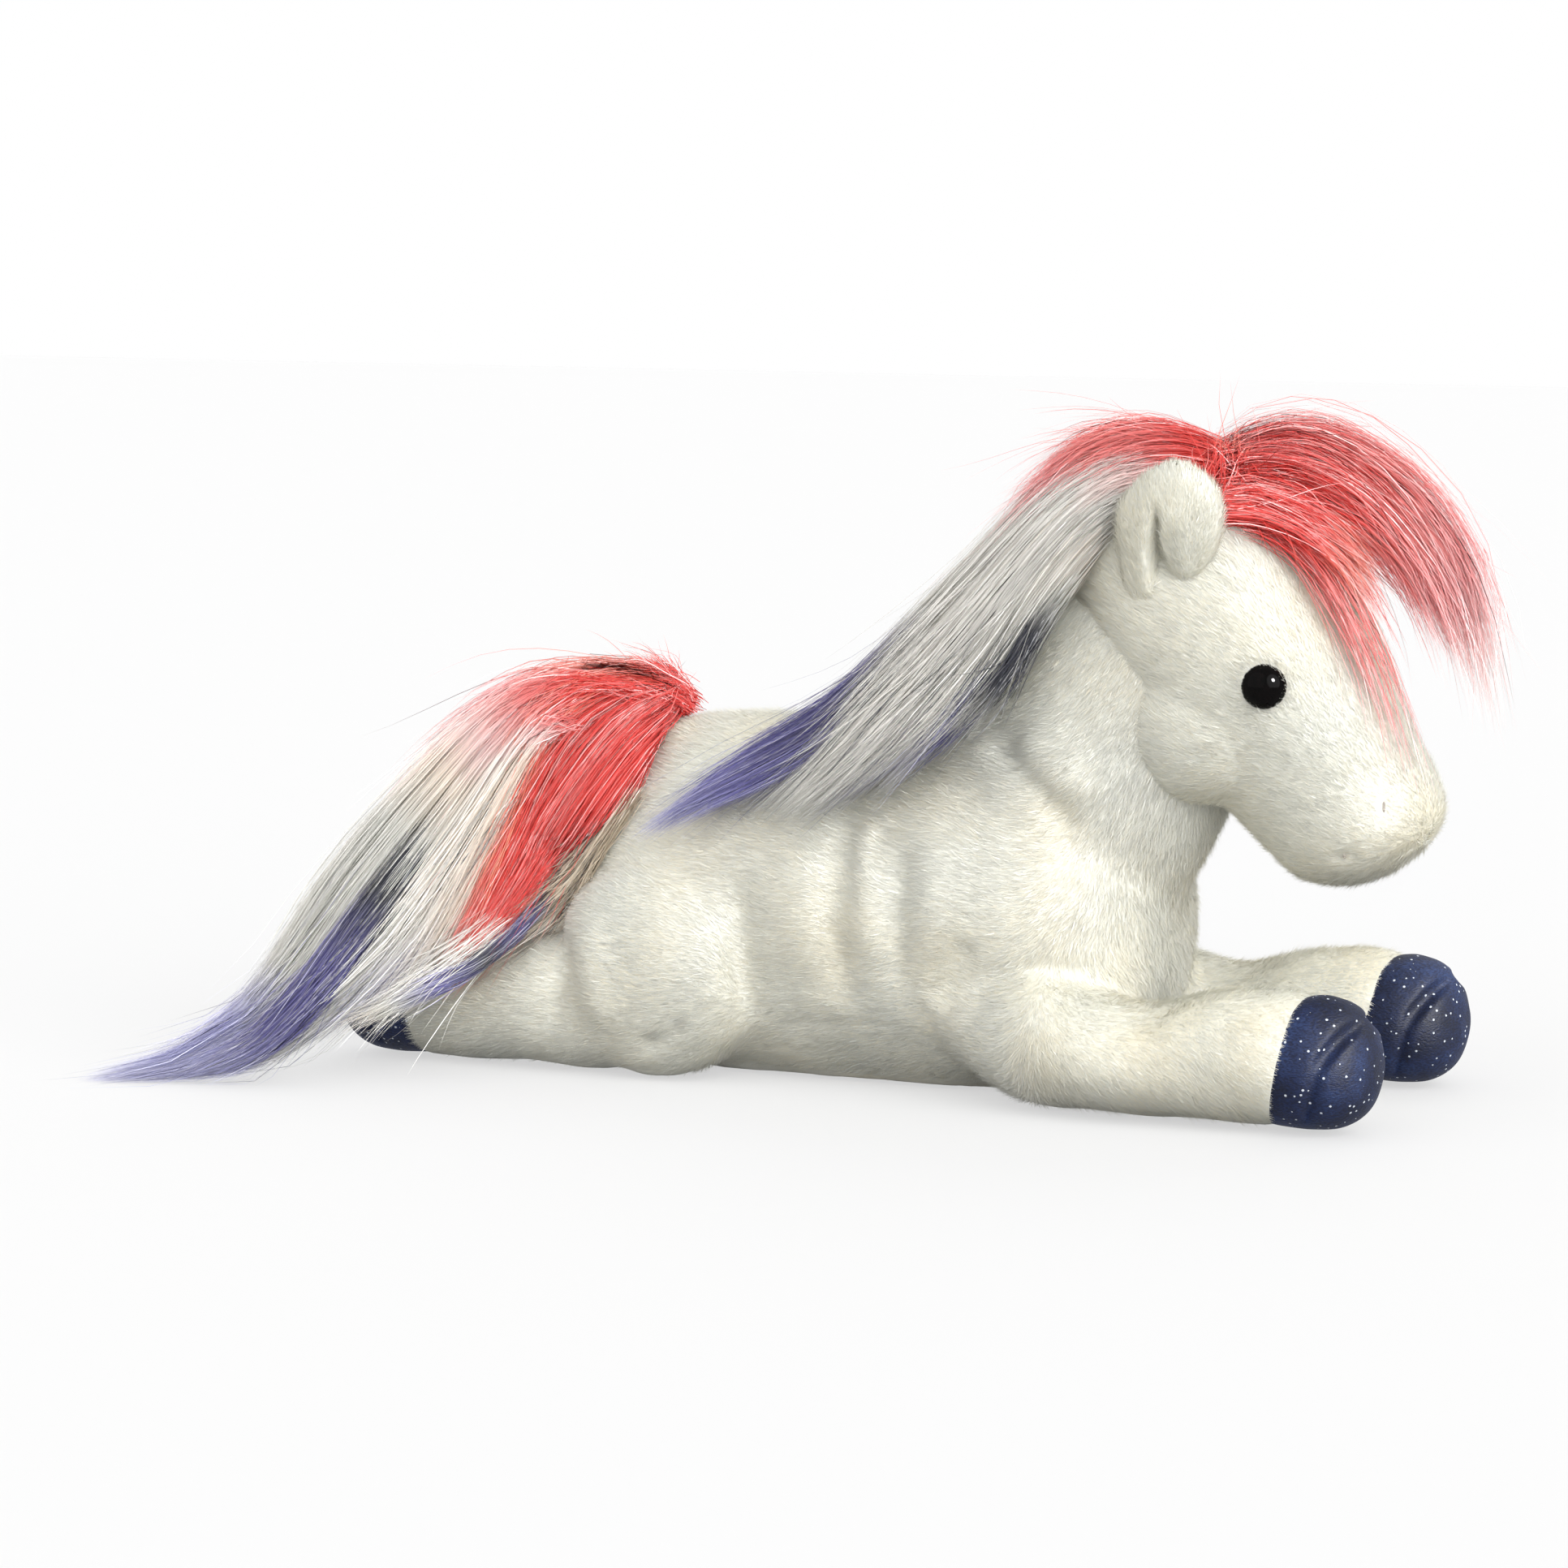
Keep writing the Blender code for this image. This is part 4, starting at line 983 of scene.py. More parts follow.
# Guides of the long hair, from root to tip and from the back edge to the front edge of a lock: pixel x,
# pixel y and the plane y. The tail's planes follow TAIL_SWING by pixel y less pixel x.
TAIL_OUTER_GUIDES = in_rows(
    2,
    (838, 858, 794, 838, 722, 832, 654, 848, 596, 886, 528, 954, 448, 1040, 388, 1120, 338, 1200,
     276, 1268, 182, 1315, 100, 1332),
    (838, 862, 794, 842, 730, 842, 668, 872, 602, 944, 537, 1030, 470, 1114, 407, 1194, 332, 1266,
     225, 1314, 122, 1335),
    (838, 866, 796, 850, 744, 854, 696, 878, 650, 932, 608, 1006, 560, 1090, 498, 1168, 415, 1242,
     320, 1303, 205, 1334),
)
TAIL_MIDDLE_GUIDES = in_rows(
    2,
    (836, 862, 792, 846, 740, 850, 690, 872, 637, 942, 580, 1034, 515, 1118, 450, 1192, 385, 1262,
     300, 1310),
    (836, 864, 794, 852, 741, 858, 686, 888, 639, 956, 592, 1040, 540, 1118, 480, 1192, 370, 1290),
    (838, 868, 796, 858, 743, 868, 690, 898, 649, 960, 610, 1038, 568, 1112, 522, 1178, 445, 1252),
)
TAIL_RED_GUIDES = in_rows(
    2,
    (836, 860, 790, 848, 742, 852, 698, 872, 668, 910, 645, 960, 615, 1025, 584, 1090, 552, 1160),
    (838, 864, 798, 870, 752, 896, 716, 935, 686, 984, 656, 1040, 622, 1100, 586, 1155, 545, 1215),
    (840, 872, 822, 890, 798, 920, 770, 962, 737, 1012, 700, 1058, 660, 1100, 614, 1150, 552, 1212),
)
TAIL_FRINGE_GUIDES = in_rows(
    2,
    (836, 856, 794, 828, 740, 816, 680, 822, 620, 848, 560, 894, 500, 956, 450, 1022),
    (838, 862, 792, 842, 735, 840, 670, 858, 610, 902, 560, 960, 510, 1024),
)
TAIL_ROOT_GUIDES = in_rows(
    2,
    (848, 860, 834, 840, 812, 824, 782, 818, 748, 820),
    (850, 866, 832, 850, 802, 840, 766, 840, 726, 854),
    (852, 876, 834, 870, 804, 870, 770, 883, 737, 902),
)
TAIL_LOW_GUIDES = in_rows(
    2,
    (600, 1130, 545, 1175, 490, 1212, 435, 1245, 385, 1280),
    (640, 1140, 590, 1180, 540, 1215, 490, 1252, 450, 1292),
)
TAIL_VIOLET_GUIDES = in_rows(
    2,
    (520, 1010, 472, 1076, 432, 1128, 392, 1182, 352, 1232, 300, 1282, 215, 1320),
    (545, 1040, 500, 1102, 462, 1152, 420, 1206, 380, 1252, 335, 1292, 262, 1326),
)
TAIL_DARK_GUIDES = in_rows(
    2,
    (854, 850, 800, 848, 740, 874, 680, 929, 610, 1008, 540, 1085, 470, 1150, 410, 1215, 330, 1285),
    (856, 854, 805, 858, 745, 892, 690, 947, 630, 1020, 570, 1095, 505, 1165, 445, 1222, 385, 1268),
)
TAIL_UNDER_GUIDES = in_rows(
    2,
    (842, 880, 800, 935, 760, 990, 720, 1040, 685, 1080, 646, 1116, 596, 1152, 530, 1188, 440, 1240),
    (846, 890, 812, 945, 778, 1000, 748, 1042, 726, 1082, 700, 1122, 660, 1156, 605, 1190, 540, 1225),
)
TAIL_STREAK_GUIDES = in_rows(
    2,
    (678, 1096, 648, 1126, 616, 1158, 580, 1186, 540, 1206, 485, 1230, 410, 1262),
    (684, 1104, 656, 1134, 624, 1166, 588, 1194, 548, 1214, 494, 1238, 425, 1268),
)
TAIL_SWING = (
    (10, 50, 155, 295, 430, 555, 690, 837, 988, 1112, 1218),
    (0, -1, -6, -20, -36, -52, -67, -80, -92, -102, -112),
)
MANE_MAIN_GUIDES = in_rows(
    3,
    (1478, 566, -2, 1410, 556, -4, 1344, 573, -6, 1286, 617, -7, 1230, 678, -9, 1176, 734, -12,
     1112, 800, -17, 1052, 860, -23, 986, 912, -31, 878, 986, -45),
    (1470, 578, -12, 1400, 578, -16, 1335, 608, -18, 1275, 663, -21, 1215, 728, -25, 1150, 795, -30,
     1085, 862, -36, 1030, 920, -41, 935, 1018, -51),
    (1446, 596, -20, 1384, 606, -24, 1320, 655, -29, 1264, 718, -33, 1210, 784, -38, 1154, 846, -42,
     1100, 900, -47, 1045, 950, -51, 975, 1008, -55),
    (1418, 612, -26, 1362, 642, -30, 1310, 696, -35, 1264, 756, -39, 1222, 812, -43, 1178, 864, -47,
     1128, 914, -51, 1076, 962, -54),
)
MANE_VIOLET_GUIDES = in_rows(
    3,
    (1440, 574, -4, 1344, 580, -8, 1256, 652, -9, 1188, 720, -12, 1118, 786, -16, 1054, 848, -22,
     990, 891, -29, 936, 921, -35, 884, 956, -41, 774, 1040, -54),
    (1440, 585, -9, 1340, 592, -12, 1255, 662, -14, 1190, 728, -18, 1130, 797, -24, 1080, 855, -30,
     1040, 900, -36, 985, 936, -42, 920, 968, -47, 808, 1020, -54),
)
MANE_DARK_GUIDES = in_rows(
    3,
    (1440, 590, -14, 1370, 600, -19, 1310, 655, -23, 1255, 720, -28, 1195, 790, -34, 1135, 860, -40,
     1080, 920, -45, 1030, 972, -49, 960, 1030, -54),
    (1420, 610, -25, 1368, 645, -30, 1318, 702, -35, 1272, 764, -39, 1232, 822, -43, 1190, 874, -47,
     1142, 924, -51, 1090, 976, -54),
)
MANE_EDGE_GUIDES = in_rows(
    3,
    (1366, 650, -29, 1316, 704, -34, 1272, 762, -38, 1234, 818, -42, 1194, 868, -46, 1150, 912, -50),
    (1368, 662, -30, 1320, 718, -35, 1282, 772, -39, 1250, 824, -43, 1216, 868, -47, 1182, 900, -50),
)
MANE_RED_GUIDES = in_rows(
    3,
    (1482, 559, -2, 1410, 547, -4, 1343, 562, -5, 1286, 604, -7, 1232, 662, -8, 1158, 736, -11),
    (1476, 572, -8, 1408, 570, -11, 1345, 600, -14, 1290, 652, -17, 1240, 712, -20, 1195, 775, -23),
)
TUFT_GUIDES = in_rows(
    3,
    (1524, 568, 1, 1475, 550, 0, 1415, 536, -2, 1357, 545, -3, 1303, 576, -4, 1243, 628, -6),
    (1524, 572, -4, 1466, 552, -6, 1410, 545, -8, 1350, 562, -9, 1298, 600, -10, 1235, 665, -12),
    (1516, 588, -8, 1458, 574, -12, 1400, 580, -15, 1350, 608, -17, 1290, 670, -20),
)
PARTING_GUIDES = in_rows(
    3,
    (1482, 608, -12, 1488, 584, -10, 1498, 562, -7, 1506, 540, -4),
    (1508, 616, -13, 1512, 588, -10, 1518, 564, -7, 1528, 540, -4),
    (1536, 622, -14, 1536, 596, -11, 1542, 570, -8, 1556, 546, -4),
)
FORELOCK_GUIDES = in_rows(
    3,
    (1492, 578, 2, 1532, 558, 3, 1582, 543, 3, 1640, 547, 3, 1700, 575, 2, 1758, 624, 2, 1802, 692, 1,
     1830, 780, 0, 1848, 905, 0),
    (1494, 586, -2, 1544, 564, -3, 1600, 556, -4, 1660, 578, -5, 1718, 624, -5, 1768, 690, -5,
     1804, 770, -4, 1834, 880, -4),
    (1496, 602, -6, 1548, 588, -9, 1600, 591, -10, 1658, 618, -9, 1710, 666, -8, 1756, 730, -7,
     1800, 828, -6),
    (1498, 614, -9, 1552, 602, -14, 1604, 611, -15, 1656, 637, -13, 1704, 678, -11, 1746, 730, -10,
     1782, 795, -9),
)
FORELOCK_ROOT_GUIDES = in_rows(
    3,
    (1498, 610, -8, 1548, 605, -14, 1600, 622, -17, 1648, 655, -15, 1688, 698, -12, 1722, 748, -10),
    (1498, 636, -13, 1543, 640, -18, 1592, 656, -19, 1636, 686, -17, 1670, 722, -15, 1700, 775, -13),
)
FACE_LOCK_GUIDES = in_rows(
    3,
    (1530, 612, -4, 1590, 618, -9, 1650, 655, -9, 1698, 722, -8, 1732, 805, -7, 1760, 900, -6,
     1784, 1010, -5),
    (1526, 634, -12, 1572, 642, -17, 1622, 674, -18, 1668, 735, -16, 1704, 812, -13, 1732, 900, -10,
     1758, 1000, -8),
    (1520, 650, -20, 1560, 660, -22, 1605, 695, -22, 1645, 760, -21, 1682, 840, -18, 1712, 940, -15),
)


# Materials

def wire(tree, node, inputs):
    """Set a node's inputs, or link them where a socket is given."""
    for name, value in inputs.items():
        if isinstance(value, bpy.types.NodeSocket):
            tree.links.new(value, node.inputs[name])
        else:
            node.inputs[name].default_value = value
    return node


def add(tree, kind, inputs=None, **settings):
    """A new shader node's outputs, with its settings and inputs given."""
    node = tree.nodes.new("ShaderNode" + kind)
    for name, value in settings.items():
        setattr(node, name, value)
    return wire(tree, node, inputs or {}).outputs


def worked_out(tree, operation, first, second):
    """Two values put through a sum."""
    return add(tree, "Math", {0: first, 1: second}, operation=operation)[0]


def ramp(tree, stops, factor):
    node = tree.nodes.new("ShaderNodeValToRGB")
    elements = node.color_ramp.elements
    while len(elements) < len(stops):
        elements.new(0.5)
    for element, (place, colour) in zip(elements, stops):
        element.position = place
        element.color = (*colour, 1.0)
    tree.links.new(factor, node.inputs["Fac"])
    return node.outputs["Color"]


def mixed(tree, factor, first, second, mode="MIX"):
    """Two colours mixed."""
    node = tree.nodes.new("ShaderNodeMix")
    node.data_type = "RGBA"
    node.blend_type = mode
    for socket, value in (("Factor", factor), ("A", first), ("B", second)):
        slot = [item for item in node.inputs if item.name == socket and item.enabled][0]
        if isinstance(value, bpy.types.NodeSocket):
            tree.links.new(value, slot)
        else:
            slot.default_value = (*value, 1.0) if isinstance(value, tuple) else value
    return [item for item in node.outputs if item.enabled][0]


def srgb(red, green, blue):
    """Linear colour of an eight-bit display colour."""
    shares = [value / 255.0 for value in (red, green, blue)]
    return tuple(v / 12.92 if v <= 0.04045 else ((v + 0.055) / 1.055) ** 2.4 for v in shares)


def effect(name, inputs, output, kind):
    """An empty node group with its named inputs and output, and the nodes that they start and end at."""
    group = bpy.data.node_groups.new(name, "ShaderNodeTree")
    for word, sort in inputs:
        group.interface.new_socket(word, in_out="INPUT", socket_type="NodeSocket" + sort)
    group.interface.new_socket(output, in_out="OUTPUT", socket_type="NodeSocket" + kind)
    return group, group.nodes.new("NodeGroupInput").outputs, group.nodes.new("NodeGroupOutput")


def grain_effect():
    """Uneven patches or a fine grain."""
    words = ("Scale", "Detail", "Distortion")
    inputs = [("Vector", "Vector")] + [(word, "Float") for word in words]
    group, given, end = effect("grain", inputs, "Mask", "Float")
    noise = add(group, "TexNoise", {word: given[word] for word in ("Vector",) + words})
    group.links.new(noise["Fac"], end.inputs["Mask"])
    return group


def dyed_and_highlit_threads_effect():
    """Single threads of long pile: some darker, a few paler as a painted highlight on single threads, and a
    share dyed as streaks from a place on.
    """
    words = ("Tint", "Along", "Streak Share", "Streak Start")
    inputs = [("Colour", "Color"), ("Streak Colour", "Color")] + [(word, "Float") for word in words]
    group, given, end = effect("dyed_and_highlit_threads", inputs, "Colour", "Color")
    thread = worked_out(group, "SNAP", given["Tint"], 1.0 / 512.0)
    chance = add(group, "TexWhiteNoise", {"W": thread}, noise_dimensions="1D")["Value"]
    shade = ramp(group, ((0.0, (0.88, 0.88, 0.88)), (0.35, FULL), (1.0, FULL)), chance)
    colour = mixed(group, 1.0, given["Colour"], shade, "MULTIPLY")
    # Painted highlight: a few threads are mixed towards near white, standing in for the glint along single
    # hairs
    painted_highlight = ramp(group, ((0.0, BLACK), (0.84, BLACK), (0.97, (0.45, 0.45, 0.45))), chance)
    colour = mixed(group, painted_highlight, colour, srgb(250, 244, 240))
    share, start = given["Streak Share"], given["Streak Start"]
    limits = {"Value": chance, "From Min": share, "From Max": worked_out(group, "ADD", share, 0.03)}
    pick = add(group, "MapRange", {**limits, "To Min": 1.0, "To Max": 0.0})["Result"]
    limits = {"Value": given["Along"], "From Min": start, "From Max": worked_out(group, "ADD", start, 0.2)}
    when = add(group, "MapRange", limits)["Result"]
    colour = mixed(group, worked_out(group, "MULTIPLY", pick, when), colour, given["Streak Colour"])
    group.links.new(colour, end.inputs["Colour"])
    return group


def new_material(name):
    material = bpy.data.materials.new(name)
    material.use_nodes = True
    return material, material.node_tree, material.node_tree.nodes["Principled BSDF"]


def finish_look(tree, shader, colour, roughness, specular):
    """The colour and sheen of a material."""
    wire(tree, shader, {"Base Color": colour, "Roughness": roughness, "Specular IOR Level": specular})


def object_place(tree):
    return add(tree, "TexCoord")["Object"]


def grain(tree, scale, detail, where=None, distortion=0.0):
    where = object_place(tree) if where is None else where
    inputs = {"Vector": where, "Scale": scale, "Detail": detail, "Distortion": distortion}
    return add(tree, "Group", inputs, node_tree=GRAIN)["Mask"]


def add_bump(tree, shader, height, strength, distance):
    bump = add(tree, "Bump", {"Height": height, "Strength": strength, "Distance": distance})
    tree.links.new(bump["Normal"], shader.inputs["Normal"])


def strand_place(tree):
    """The tint and the place along a strand, from its map."""
    split = add(tree, "SeparateXYZ", {"Vector": add(tree, "UVMap", uv_map="OFBake")["UV"]})
    return split["X"], split["Y"]


BLACK = (0.0, 0.0, 0.0)
FULL = (1.0, 1.0, 1.0)
EYE_BLACK = (0.001, 0.001, 0.001)
EYE_BROWN = (0.003, 0.002, 0.002)
PLUSH_COOL = srgb(233, 234, 226)
PLUSH_WHITE = srgb(245, 244, 233)
PLUSH_CREAM = srgb(250, 244, 224)
DEEP_RED = srgb(232, 46, 44)
RED = srgb(246, 68, 60)
ROSE = srgb(255, 140, 136)
CORAL = srgb(255, 136, 114)
PEACH = srgb(255, 172, 142)
PINK = srgb(255, 168, 168)
PALE_PINK = srgb(255, 220, 215)
CREAM = srgb(250, 236, 220)
BEIGE = srgb(228, 212, 186)
WHITE = srgb(246, 243, 236)
GREY = srgb(222, 221, 213)
PALE_VIOLET = srgb(204, 204, 232)
LAVENDER = srgb(172, 172, 216)
VIOLET = srgb(122, 118, 184)
DEEP_VIOLET = srgb(84, 80, 142)
NAVY = srgb(52, 54, 84)
CHARCOAL = srgb(48, 50, 62)

GRAIN = grain_effect()
DYED_AND_HIGHLIT_THREADS = dyed_and_highlit_threads_effect()


def plush_skin_look():
    material, tree, shader = new_material("ivory_plush_ground")
    colour = ramp(tree, ((0.3, PLUSH_COOL), (0.5, PLUSH_WHITE), (0.7, PLUSH_CREAM)), grain(tree, 26.0, 3.0))
    finish_look(tree, shader, colour, 0.95, 0.15)
    add_bump(tree, shader, grain(tree, 900.0, 2.0), 0.35, 0.0006)
    return material


def plush_pile_look():
    material, tree, shader = new_material("ivory_plush_pile")
    tint, along = strand_place(tree)
    colour = ramp(tree, ((0.15, PLUSH_COOL), (0.5, PLUSH_WHITE), (0.85, PLUSH_CREAM)), tint)
    # Painted shade: each strand is a little darker towards its root, where the pile shades itself
    root = ramp(tree, ((0.0, (0.93, 0.925, 0.91)), (0.6, FULL)), along)
    finish_look(tree, shader, mixed(tree, 1.0, colour, root, "MULTIPLY"), 0.5, 0.5)
    return material


def hair_look(name, bands, streaks=(-1.0, 0.0, BLACK)):
    """Long pile dyed in bands across a lock, with a share of its threads dyed darker from a place on."""
    material, tree, shader = new_material(name)
    tint, along = strand_place(tree)
    colour = None
    for place, stops in bands:
        here = ramp(tree, stops, along)
        if colour is not None:
            limits = {"Value": tint, "From Min": last, "From Max": place}
            step = add(tree, "MapRange", limits, interpolation_type="SMOOTHSTEP")["Result"]
            here = mixed(tree, step, colour, here)
        colour = here
        last = place
    share, start, dark = streaks
    threads = {"Colour": colour, "Tint": tint, "Along": along}
    threads.update({"Streak Share": share, "Streak Start": start, "Streak Colour": (*dark, 1.0)})
    colour = add(tree, "Group", threads, node_tree=DYED_AND_HIGHLIT_THREADS)["Colour"]
    finish_look(tree, shader, colour, 0.45, 0.5)
    return material


def tail_outer_look():
    left = (
        (0.0, RED), (0.14, RED), (0.22, ROSE), (0.31, PALE_PINK), (0.38, CREAM), (0.48, GREY), (0.70, GREY),
        (0.80, LAVENDER), (0.9, LAVENDER), (1.0, PALE_VIOLET),
    )
    right = (
        (0.0, RED), (0.17, RED), (0.22, ROSE), (0.26, PALE_PINK), (0.34, WHITE), (0.55, WHITE), (0.75, GREY),
        (0.84, GREY), (0.92, LAVENDER), (1.0, PALE_VIOLET),
    )
    bands = ((0.0, left), (0.4, left), (1.0, right))
    return hair_look("tail_grey_and_violet_pile", bands, (0.05, 0.5, DEEP_VIOLET))


def tail_middle_look():
    root = ((0.0, RED), (0.2, RED), (0.26, ROSE), (0.31, PALE_PINK))
    left = root + ((0.38, CREAM), (0.55, CREAM), (0.74, WHITE), (0.88, PALE_VIOLET), (1.0, GREY))
    right = root + ((0.38, CREAM), (0.75, CREAM), (1.0, WHITE))
    return hair_look("tail_cream_pile", ((0.0, left), (0.5, left), (1.0, right)), (0.04, 0.6, NAVY))


def tail_red_look():
    left = ((0.0, RED), (0.22, CORAL), (0.4, CORAL), (0.75, PEACH), (1.0, PINK))
    right = ((0.0, RED), (0.35, RED), (0.8, RED), (1.0, CORAL))
    return hair_look("tail_red_pile", ((0.0, left), (0.16, left), (0.42, right), (1.0, right)))


def tail_under_look():
    stops = ((0.0, BEIGE), (0.62, BEIGE), (0.75, CREAM), (1.0, WHITE))
    return hair_look("tail_under_pile", ((0.0, stops),), (0.12, 0.2, CHARCOAL))


def forelock_look():
    outer = ((0.0, RED), (0.15, ROSE), (0.45, ROSE), (0.65, PINK), (0.9, PALE_PINK))
    middle = ((0.0, DEEP_RED), (0.45, RED), (0.62, ROSE), (0.78, PINK), (0.95, PALE_PINK))
    inner = ((0.0, RED), (0.5, RED), (0.75, ROSE), (1.0, PINK))
    return hair_look("forelock_pile", ((0.0, outer), (0.1, outer), (0.4, middle), (1.0, inner)))


def mane_main_look():
    back = (
        (0.0, CORAL), (0.10, PINK), (0.24, PALE_PINK), (0.38, WHITE), (0.62, GREY), (0.8, DEEP_VIOLET),
        (1.0, VIOLET),
    )
    middle = ((0.0, PINK), (0.08, PALE_PINK), (0.2, WHITE), (0.8, WHITE), (1.0, GREY))
    front = ((0.0, WHITE), (0.3, WHITE), (0.8, WHITE), (1.0, GREY))
    bands = ((0.0, back), (0.05, back), (0.2, middle), (0.7, middle), (0.9, front))
    return hair_look("mane_white_pile", bands, (0.10, 0.5, CHARCOAL))


def plain_hair_look(name, *colours):
    """Long pile that goes through its colours evenly from root to tip."""
    stops = tuple((index / (len(colours) - 1), colour) for index, colour in enumerate(colours))
    return hair_look(name, ((0.0, stops),))


def hoof_look():
    """Navy velour: fine knitted ribs with painted shade in their grooves, brushed patches, and scattered
    glitter dots painted near white as a painted glint.
    """
    material, tree, shader = new_material("navy_glitter_velour")
    where = object_place(tree)
    blues = ((0.3, srgb(14, 25, 54)), (0.5, srgb(26, 40, 78)), (0.75, srgb(46, 66, 112)))
    colour = ramp(tree, blues, grain(tree, 70.0, 4.0, where, 0.6))
    rows = add(tree, "Mapping", {"Vector": where, "Rotation": (0.35, 0.5, 0.25), "Scale": (1.0, 1.0, 2.4)})
    # Painted shade: the grooves between the knit's rows are darkened, as shade falls there; the ribs are also
    # raised by the bump below
    knit = grain(tree, 1150.0, 2.0, rows["Vector"])
    rib = ramp(tree, ((0.38, (0.34, 0.34, 0.42)), (0.62, FULL)), knit)
    colour = mixed(tree, 1.0, colour, rib, "MULTIPLY")
    # Glitter dots: the glitter is real, and its near-white brightness is a painted glint
    dots = add(tree, "TexVoronoi", {"Vector": where, "Scale": 430.0, "Randomness": 0.7})["Distance"]
    glitter_and_glint = worked_out(tree, "LESS_THAN", dots, 0.15)
    finish_look(tree, shader, mixed(tree, glitter_and_glint, colour, srgb(225, 232, 242)), 0.62, 0.2)
    add_bump(tree, shader, knit, 0.6, 0.0004)
    return material


def plain_look(name, dark, colour, roughness, scale, detail=3.0, specular=0.5):
    """A small part's look, with a fine grain between two colours."""
    material, tree, shader = new_material(name)
    colour = ramp(tree, ((0.3, dark), (0.7, colour)), grain(tree, scale, detail))
    finish_look(tree, shader, colour, roughness, specular)
    return material


def cloth_look(name, colour, roughness, scale):
    return plain_look(name, tuple(value * 0.82 for value in colour), colour, roughness, scale)


LOOKS = {
    "ground": plush_skin_look(),
    "pile": plush_pile_look(),
    "hoof": hoof_look(),
    "eye": plain_look("black_glossy_eye", EYE_BLACK, EYE_BROWN, 0.07, 700.0, 2.0, 0.06),
    "tail outer": tail_outer_look(),
    "tail middle": tail_middle_look(),
    "tail red": tail_red_look(),
    "tail under": tail_under_look(),
    "mane": mane_main_look(),
    "forelock": forelock_look(),
    "coral": plain_hair_look("coral_pile", RED, RED, RED, CORAL, PINK),
    "pink": plain_hair_look("pink_fringe_pile", RED, ROSE, ROSE, PINK, PALE_PINK),
    "rose": plain_hair_look("rose_pile", RED, RED, ROSE, ROSE, PINK, PALE_PINK),
    "fine pink": plain_hair_look("fine_pink_pile", RED, CORAL, PINK, PALE_PINK, PALE_PINK),
    "violet": plain_hair_look(
        "violet_pile", WHITE, WHITE, GREY, GREY, DEEP_VIOLET, DEEP_VIOLET, VIOLET, LAVENDER,
    ),
    "dark": plain_hair_look("dark_streak_pile", CREAM, CREAM, GREY, CHARCOAL, DEEP_VIOLET, GREY),
    "edge": plain_hair_look("dark_edge_pile", WHITE, GREY, CHARCOAL, CHARCOAL, GREY),
    "streak": plain_hair_look("tail_streak_pile", CHARCOAL, DEEP_VIOLET, CHARCOAL, VIOLET, GREY, CREAM),
    "tail violet": plain_hair_look(
        "tail_violet_pile", CHARCOAL, CHARCOAL, DEEP_VIOLET, DEEP_VIOLET, LAVENDER,
    ),
    "white": plain_hair_look("fine_white_pile", WHITE, WHITE),
    "thread": cloth_look("stitching_thread", srgb(176, 166, 156), 0.8, 1500.0),
    "canvas": cloth_look("pellet_bag_cloth", srgb(214, 208, 194), 0.9, 1200.0),
    "washer": cloth_look("washer_plastic", srgb(222, 222, 216), 0.45, 400.0),
}


def give(piece, look):
    piece.data.materials.clear()
    piece.data.materials.append(LOOKS[look])


# The pieces

def dress(piece, look, body=None, nodes=()):
    """Finish a piece: its material, slot and body, and the nodes it stands for."""
    give(piece, look)
    if body:
        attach(piece, body)
    if nodes:
        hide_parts(*nodes)


PILE_LENGTH = 2.7
HEAD_PILE_LENGTH = 2.5
EAR_PILE_LENGTH = 2.9
TRUNK_NAMES = ["body_pile_front_right", "body_pile_front_left", "body_pile_rear_right", "body_pile_rear_left"]
LEG_NAMES = ["foreleg_right", "foreleg_left", "hindleg_right", "hindleg_left"]
PILE_NAMES = TRUNK_NAMES + [name + "_pile" for name in LEG_NAMES]

plush = make_plush()
trunk_tree = tree_of(plush)
skins = pieces_of(plush, ["body_plush"] + [name + "_plush" for name in LEG_NAMES])
head = make_head()
head_tree = tree_of(head)
piles = make_pile(PILE_NAMES, plush, comb_body, PILE_LENGTH, 71, head, sort_of_body)
head_pile = make_pile(["head_pile"], head, comb_head, HEAD_PILE_LENGTH, 72, plush)[0]
bpy.data.objects.remove(plush)

dress(skins[0], "ground", "torso", ("torso", "belly_panel"))
for pile in piles[:4]:
    dress(pile, "pile", "torso")
dress(head, "ground", "head", ("head",))
dress(head_pile, "pile", "head")
for body, skin, pile in zip(LEG_NAMES, skins[1:], piles[4:]):
    dress(skin, "ground", None, (body,))
    dress(pile, "pile")
    fore = body.startswith("fore")
    side = 1.0 if body.endswith("left") else -1.0
    y = side * (FORELEG_START.y if fore else SHANK_START.y) * mm
    for piece in (skin, pile):
        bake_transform(piece)

